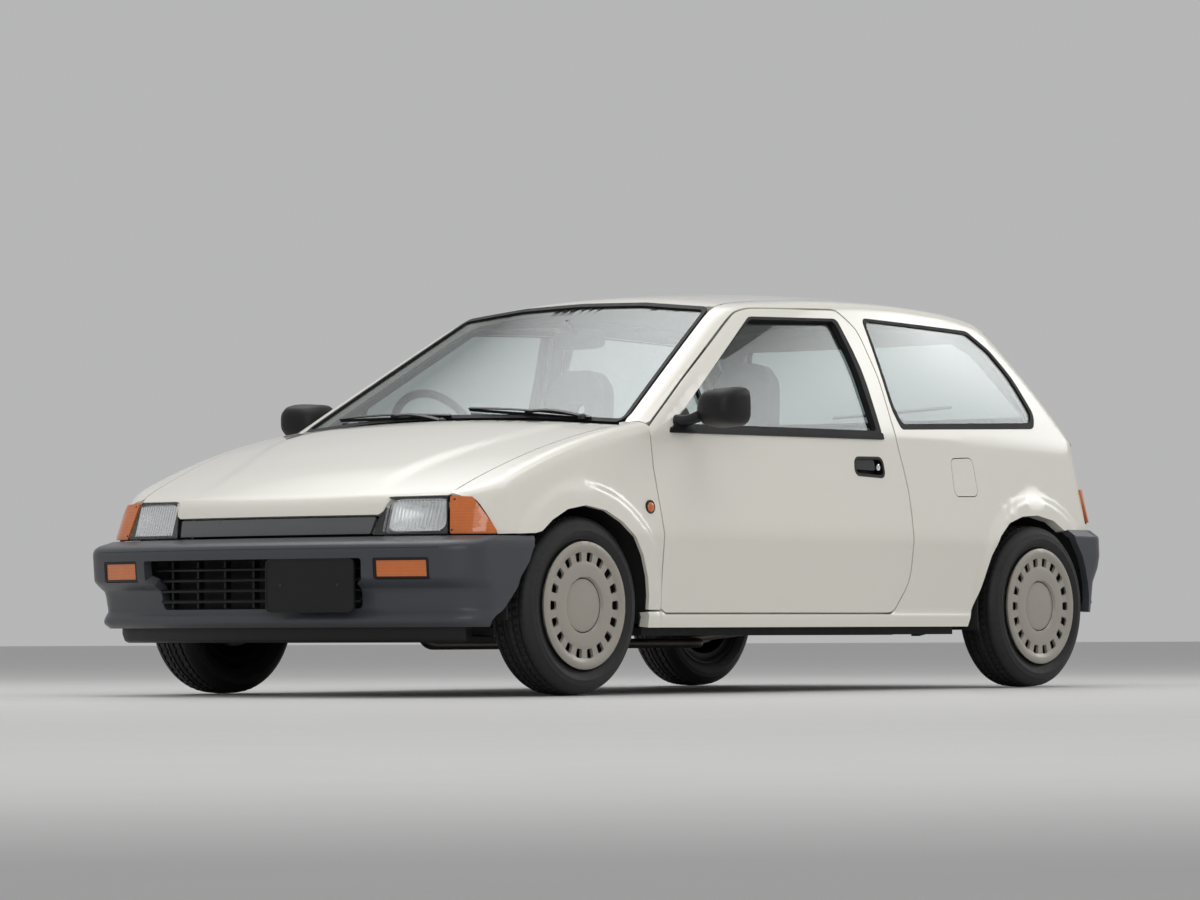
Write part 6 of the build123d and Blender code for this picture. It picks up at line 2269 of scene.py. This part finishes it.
@dataclass
class Studio:
    """Floor, lamps and camera."""

    camera_place: Vector = Vector((13.4535, 10.9168, 0.1951))
    yaw: float = 3.8260
    pitch: float = 0.0338
    roll: float = -0.0040
    lens: float = 160.0

    def build(self) -> None:
        """Makes the studio."""
        self.floor()
        self.lamps()
        self.sky()
        self.camera()

    def floor(self) -> None:
        """A broad, pale, level floor."""
        steps = 128
        rim = [(x, y, -0.0008) for x, y in circle(60.0, steps)]
        mesh = make_mesh(np.array(rim), [tuple(range(steps))], 60)
        r = Recipe("pale_floor")
        colour = r.mixed(r.noise(3.0, 4.0), (0.56, 0.555, 0.545), (0.60, 0.595, 0.585))
        mesh.materials.append(r.finish(r.surface({"Base Color": colour, "Roughness": 0.55})))
        obj = bpy.data.objects.new("studio_floor", mesh)
        bpy.context.scene.collection.objects.link(obj)

    def lamps(self) -> None:
        """Large soft boxes: place, aim, size, watts, spread and whether glass and paint reflect them."""
        boxes = (
            ("overhead", (0.8, 0.6, 6.5), (0.0, 0.0, 0.0), (8.0, 5.0), 172.0, 180.0, True),
            ("front_left", (8.5, 7.0, 4.6), (0.6, 0.3, 0.5), (7.0, 4.5), 190.0, 180.0, True),
            ("rear_fill", (-9.0, 6.2, 5.6), (-0.6, 0.3, 0.6), (5.0, 3.4), 110.0, 180.0, False),
            ("quarter_glow", (-9.5, 4.1, 5.3), (-0.9, 0.6, 1.0), (5.0, 5.0), 8.0, 28.0, True),
            ("glass_glow", (-2.9, -3.9, 8.5), (0.4, 0.3, 1.0), (8.5, 8.5), 34.0, 44.0, True),
            ("right", (3.5, -10.0, 3.5), (0.0, -0.3, 0.5), (7.0, 2.5), 130.0, 180.0, False),
        )
        for name, place, aim, size, power, spread, seen in boxes:
            light = bpy.data.lights.new(name, "AREA")
            light.shape, light.size, light.size_y, light.energy = "RECTANGLE", size[0], size[1], power
            light.spread = math.radians(spread)
            lamp = bpy.data.objects.new(name, light)
            lamp.location = place
            lamp.rotation_euler = (Vector(aim) - Vector(place)).to_track_quat("-Z", "Y").to_euler()
            lamp.visible_glossy = lamp.visible_transmission = seen
            bpy.context.scene.collection.objects.link(lamp)

    def sky(self) -> None:
        """A soft sky, seen as pale grey by the camera, by reflections and through glass."""
        world = bpy.data.worlds.new("pale_sky")
        world.use_nodes = True
        tree = world.node_tree
        sky, seen = tree.nodes["Background"], tree.nodes.new("ShaderNodeBackground")
        sky.inputs[0].default_value, sky.inputs[1].default_value = (0.90, 0.905, 0.92, 1), 0.50
        seen.inputs[0].default_value, seen.inputs[1].default_value = (0.47, 0.47, 0.475, 1), 1.0
        path, mix = tree.nodes.new("ShaderNodeLightPath"), tree.nodes.new("ShaderNodeMixShader")
        either = path.outputs["Is Camera Ray"]
        for kind in ("Is Glossy Ray", "Is Transmission Ray"):
            larger = tree.nodes.new("ShaderNodeMath")
            larger.operation = "MAXIMUM"
            tree.links.new(either, larger.inputs[0])
            tree.links.new(path.outputs[kind], larger.inputs[1])
            either = larger.outputs[0]
        tree.links.new(either, mix.inputs[0])
        tree.links.new(sky.outputs[0], mix.inputs[1])
        tree.links.new(seen.outputs[0], mix.inputs[2])
        tree.links.new(mix.outputs[0], tree.nodes["World Output"].inputs[0])
        bpy.context.scene.world = world

    def camera(self) -> None:
        """The long-lens camera, low and ahead on the left."""
        ahead = Vector((math.cos(self.yaw) * math.cos(self.pitch), math.sin(self.yaw) * math.cos(self.pitch),
                        math.sin(self.pitch)))
        level = Vector((math.sin(self.yaw), -math.cos(self.yaw), 0))
        above = level.cross(ahead)
        right = level * math.cos(self.roll) + above * math.sin(self.roll)
        up = above * math.cos(self.roll) - level * math.sin(self.roll)
        data = bpy.data.cameras.new("camera")
        data.lens, data.sensor_width, data.clip_end = self.lens, 36.0, 200.0
        camera = bpy.data.objects.new("camera", data)
        camera.matrix_world = Matrix((
            (right.x, up.x, -ahead.x, self.camera_place.x), (right.y, up.y, -ahead.y, self.camera_place.y),
            (right.z, up.z, -ahead.z, self.camera_place.z), (0, 0, 0, 1),
        ))
        bpy.context.scene.collection.objects.link(camera)
        bpy.context.scene.camera = camera


def dress_cad() -> None:
    """Gives the CAD nodes that stay in sight their finishes."""
    finishes = {
        "rear_panel": Finish.PAINT, "floor_pan": Finish.UNDERSEAL, "firewall": Finish.UNDERSEAL,
        "front_structure": Finish.UNDERSEAL, "engine_block": Finish.ENGINE, "front_suspension": Finish.STEEL,
        "rear_axle_beam": Finish.STEEL, "fuel_tank": Finish.STEEL, "exhaust_system": Finish.EXHAUST,
        "knuckle_left": Finish.STEEL, "knuckle_right": Finish.STEEL, "dashboard": Finish.DASH,
    }
    for name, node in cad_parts.items():
        finish = finishes.get(name)
        if finish and not node.hide_render:
            node.data.materials.clear()
            node.data.materials.append(finish.material)


def main() -> None:
    """Builds the car and its studio."""
    Studio().build()
    shell = BodyShell()
    shell.build()
    Windows(shell).build()
    Nose().build()
    Tail().build()
    Fittings(shell).build()
    Wheels().build()
    Seats().build()
    Cockpit().build()
    Trim(shell).build()
    dress_cad()
    bpy.context.scene.view_settings.view_transform = "Standard"


if __name__ == "__main__":
    main()
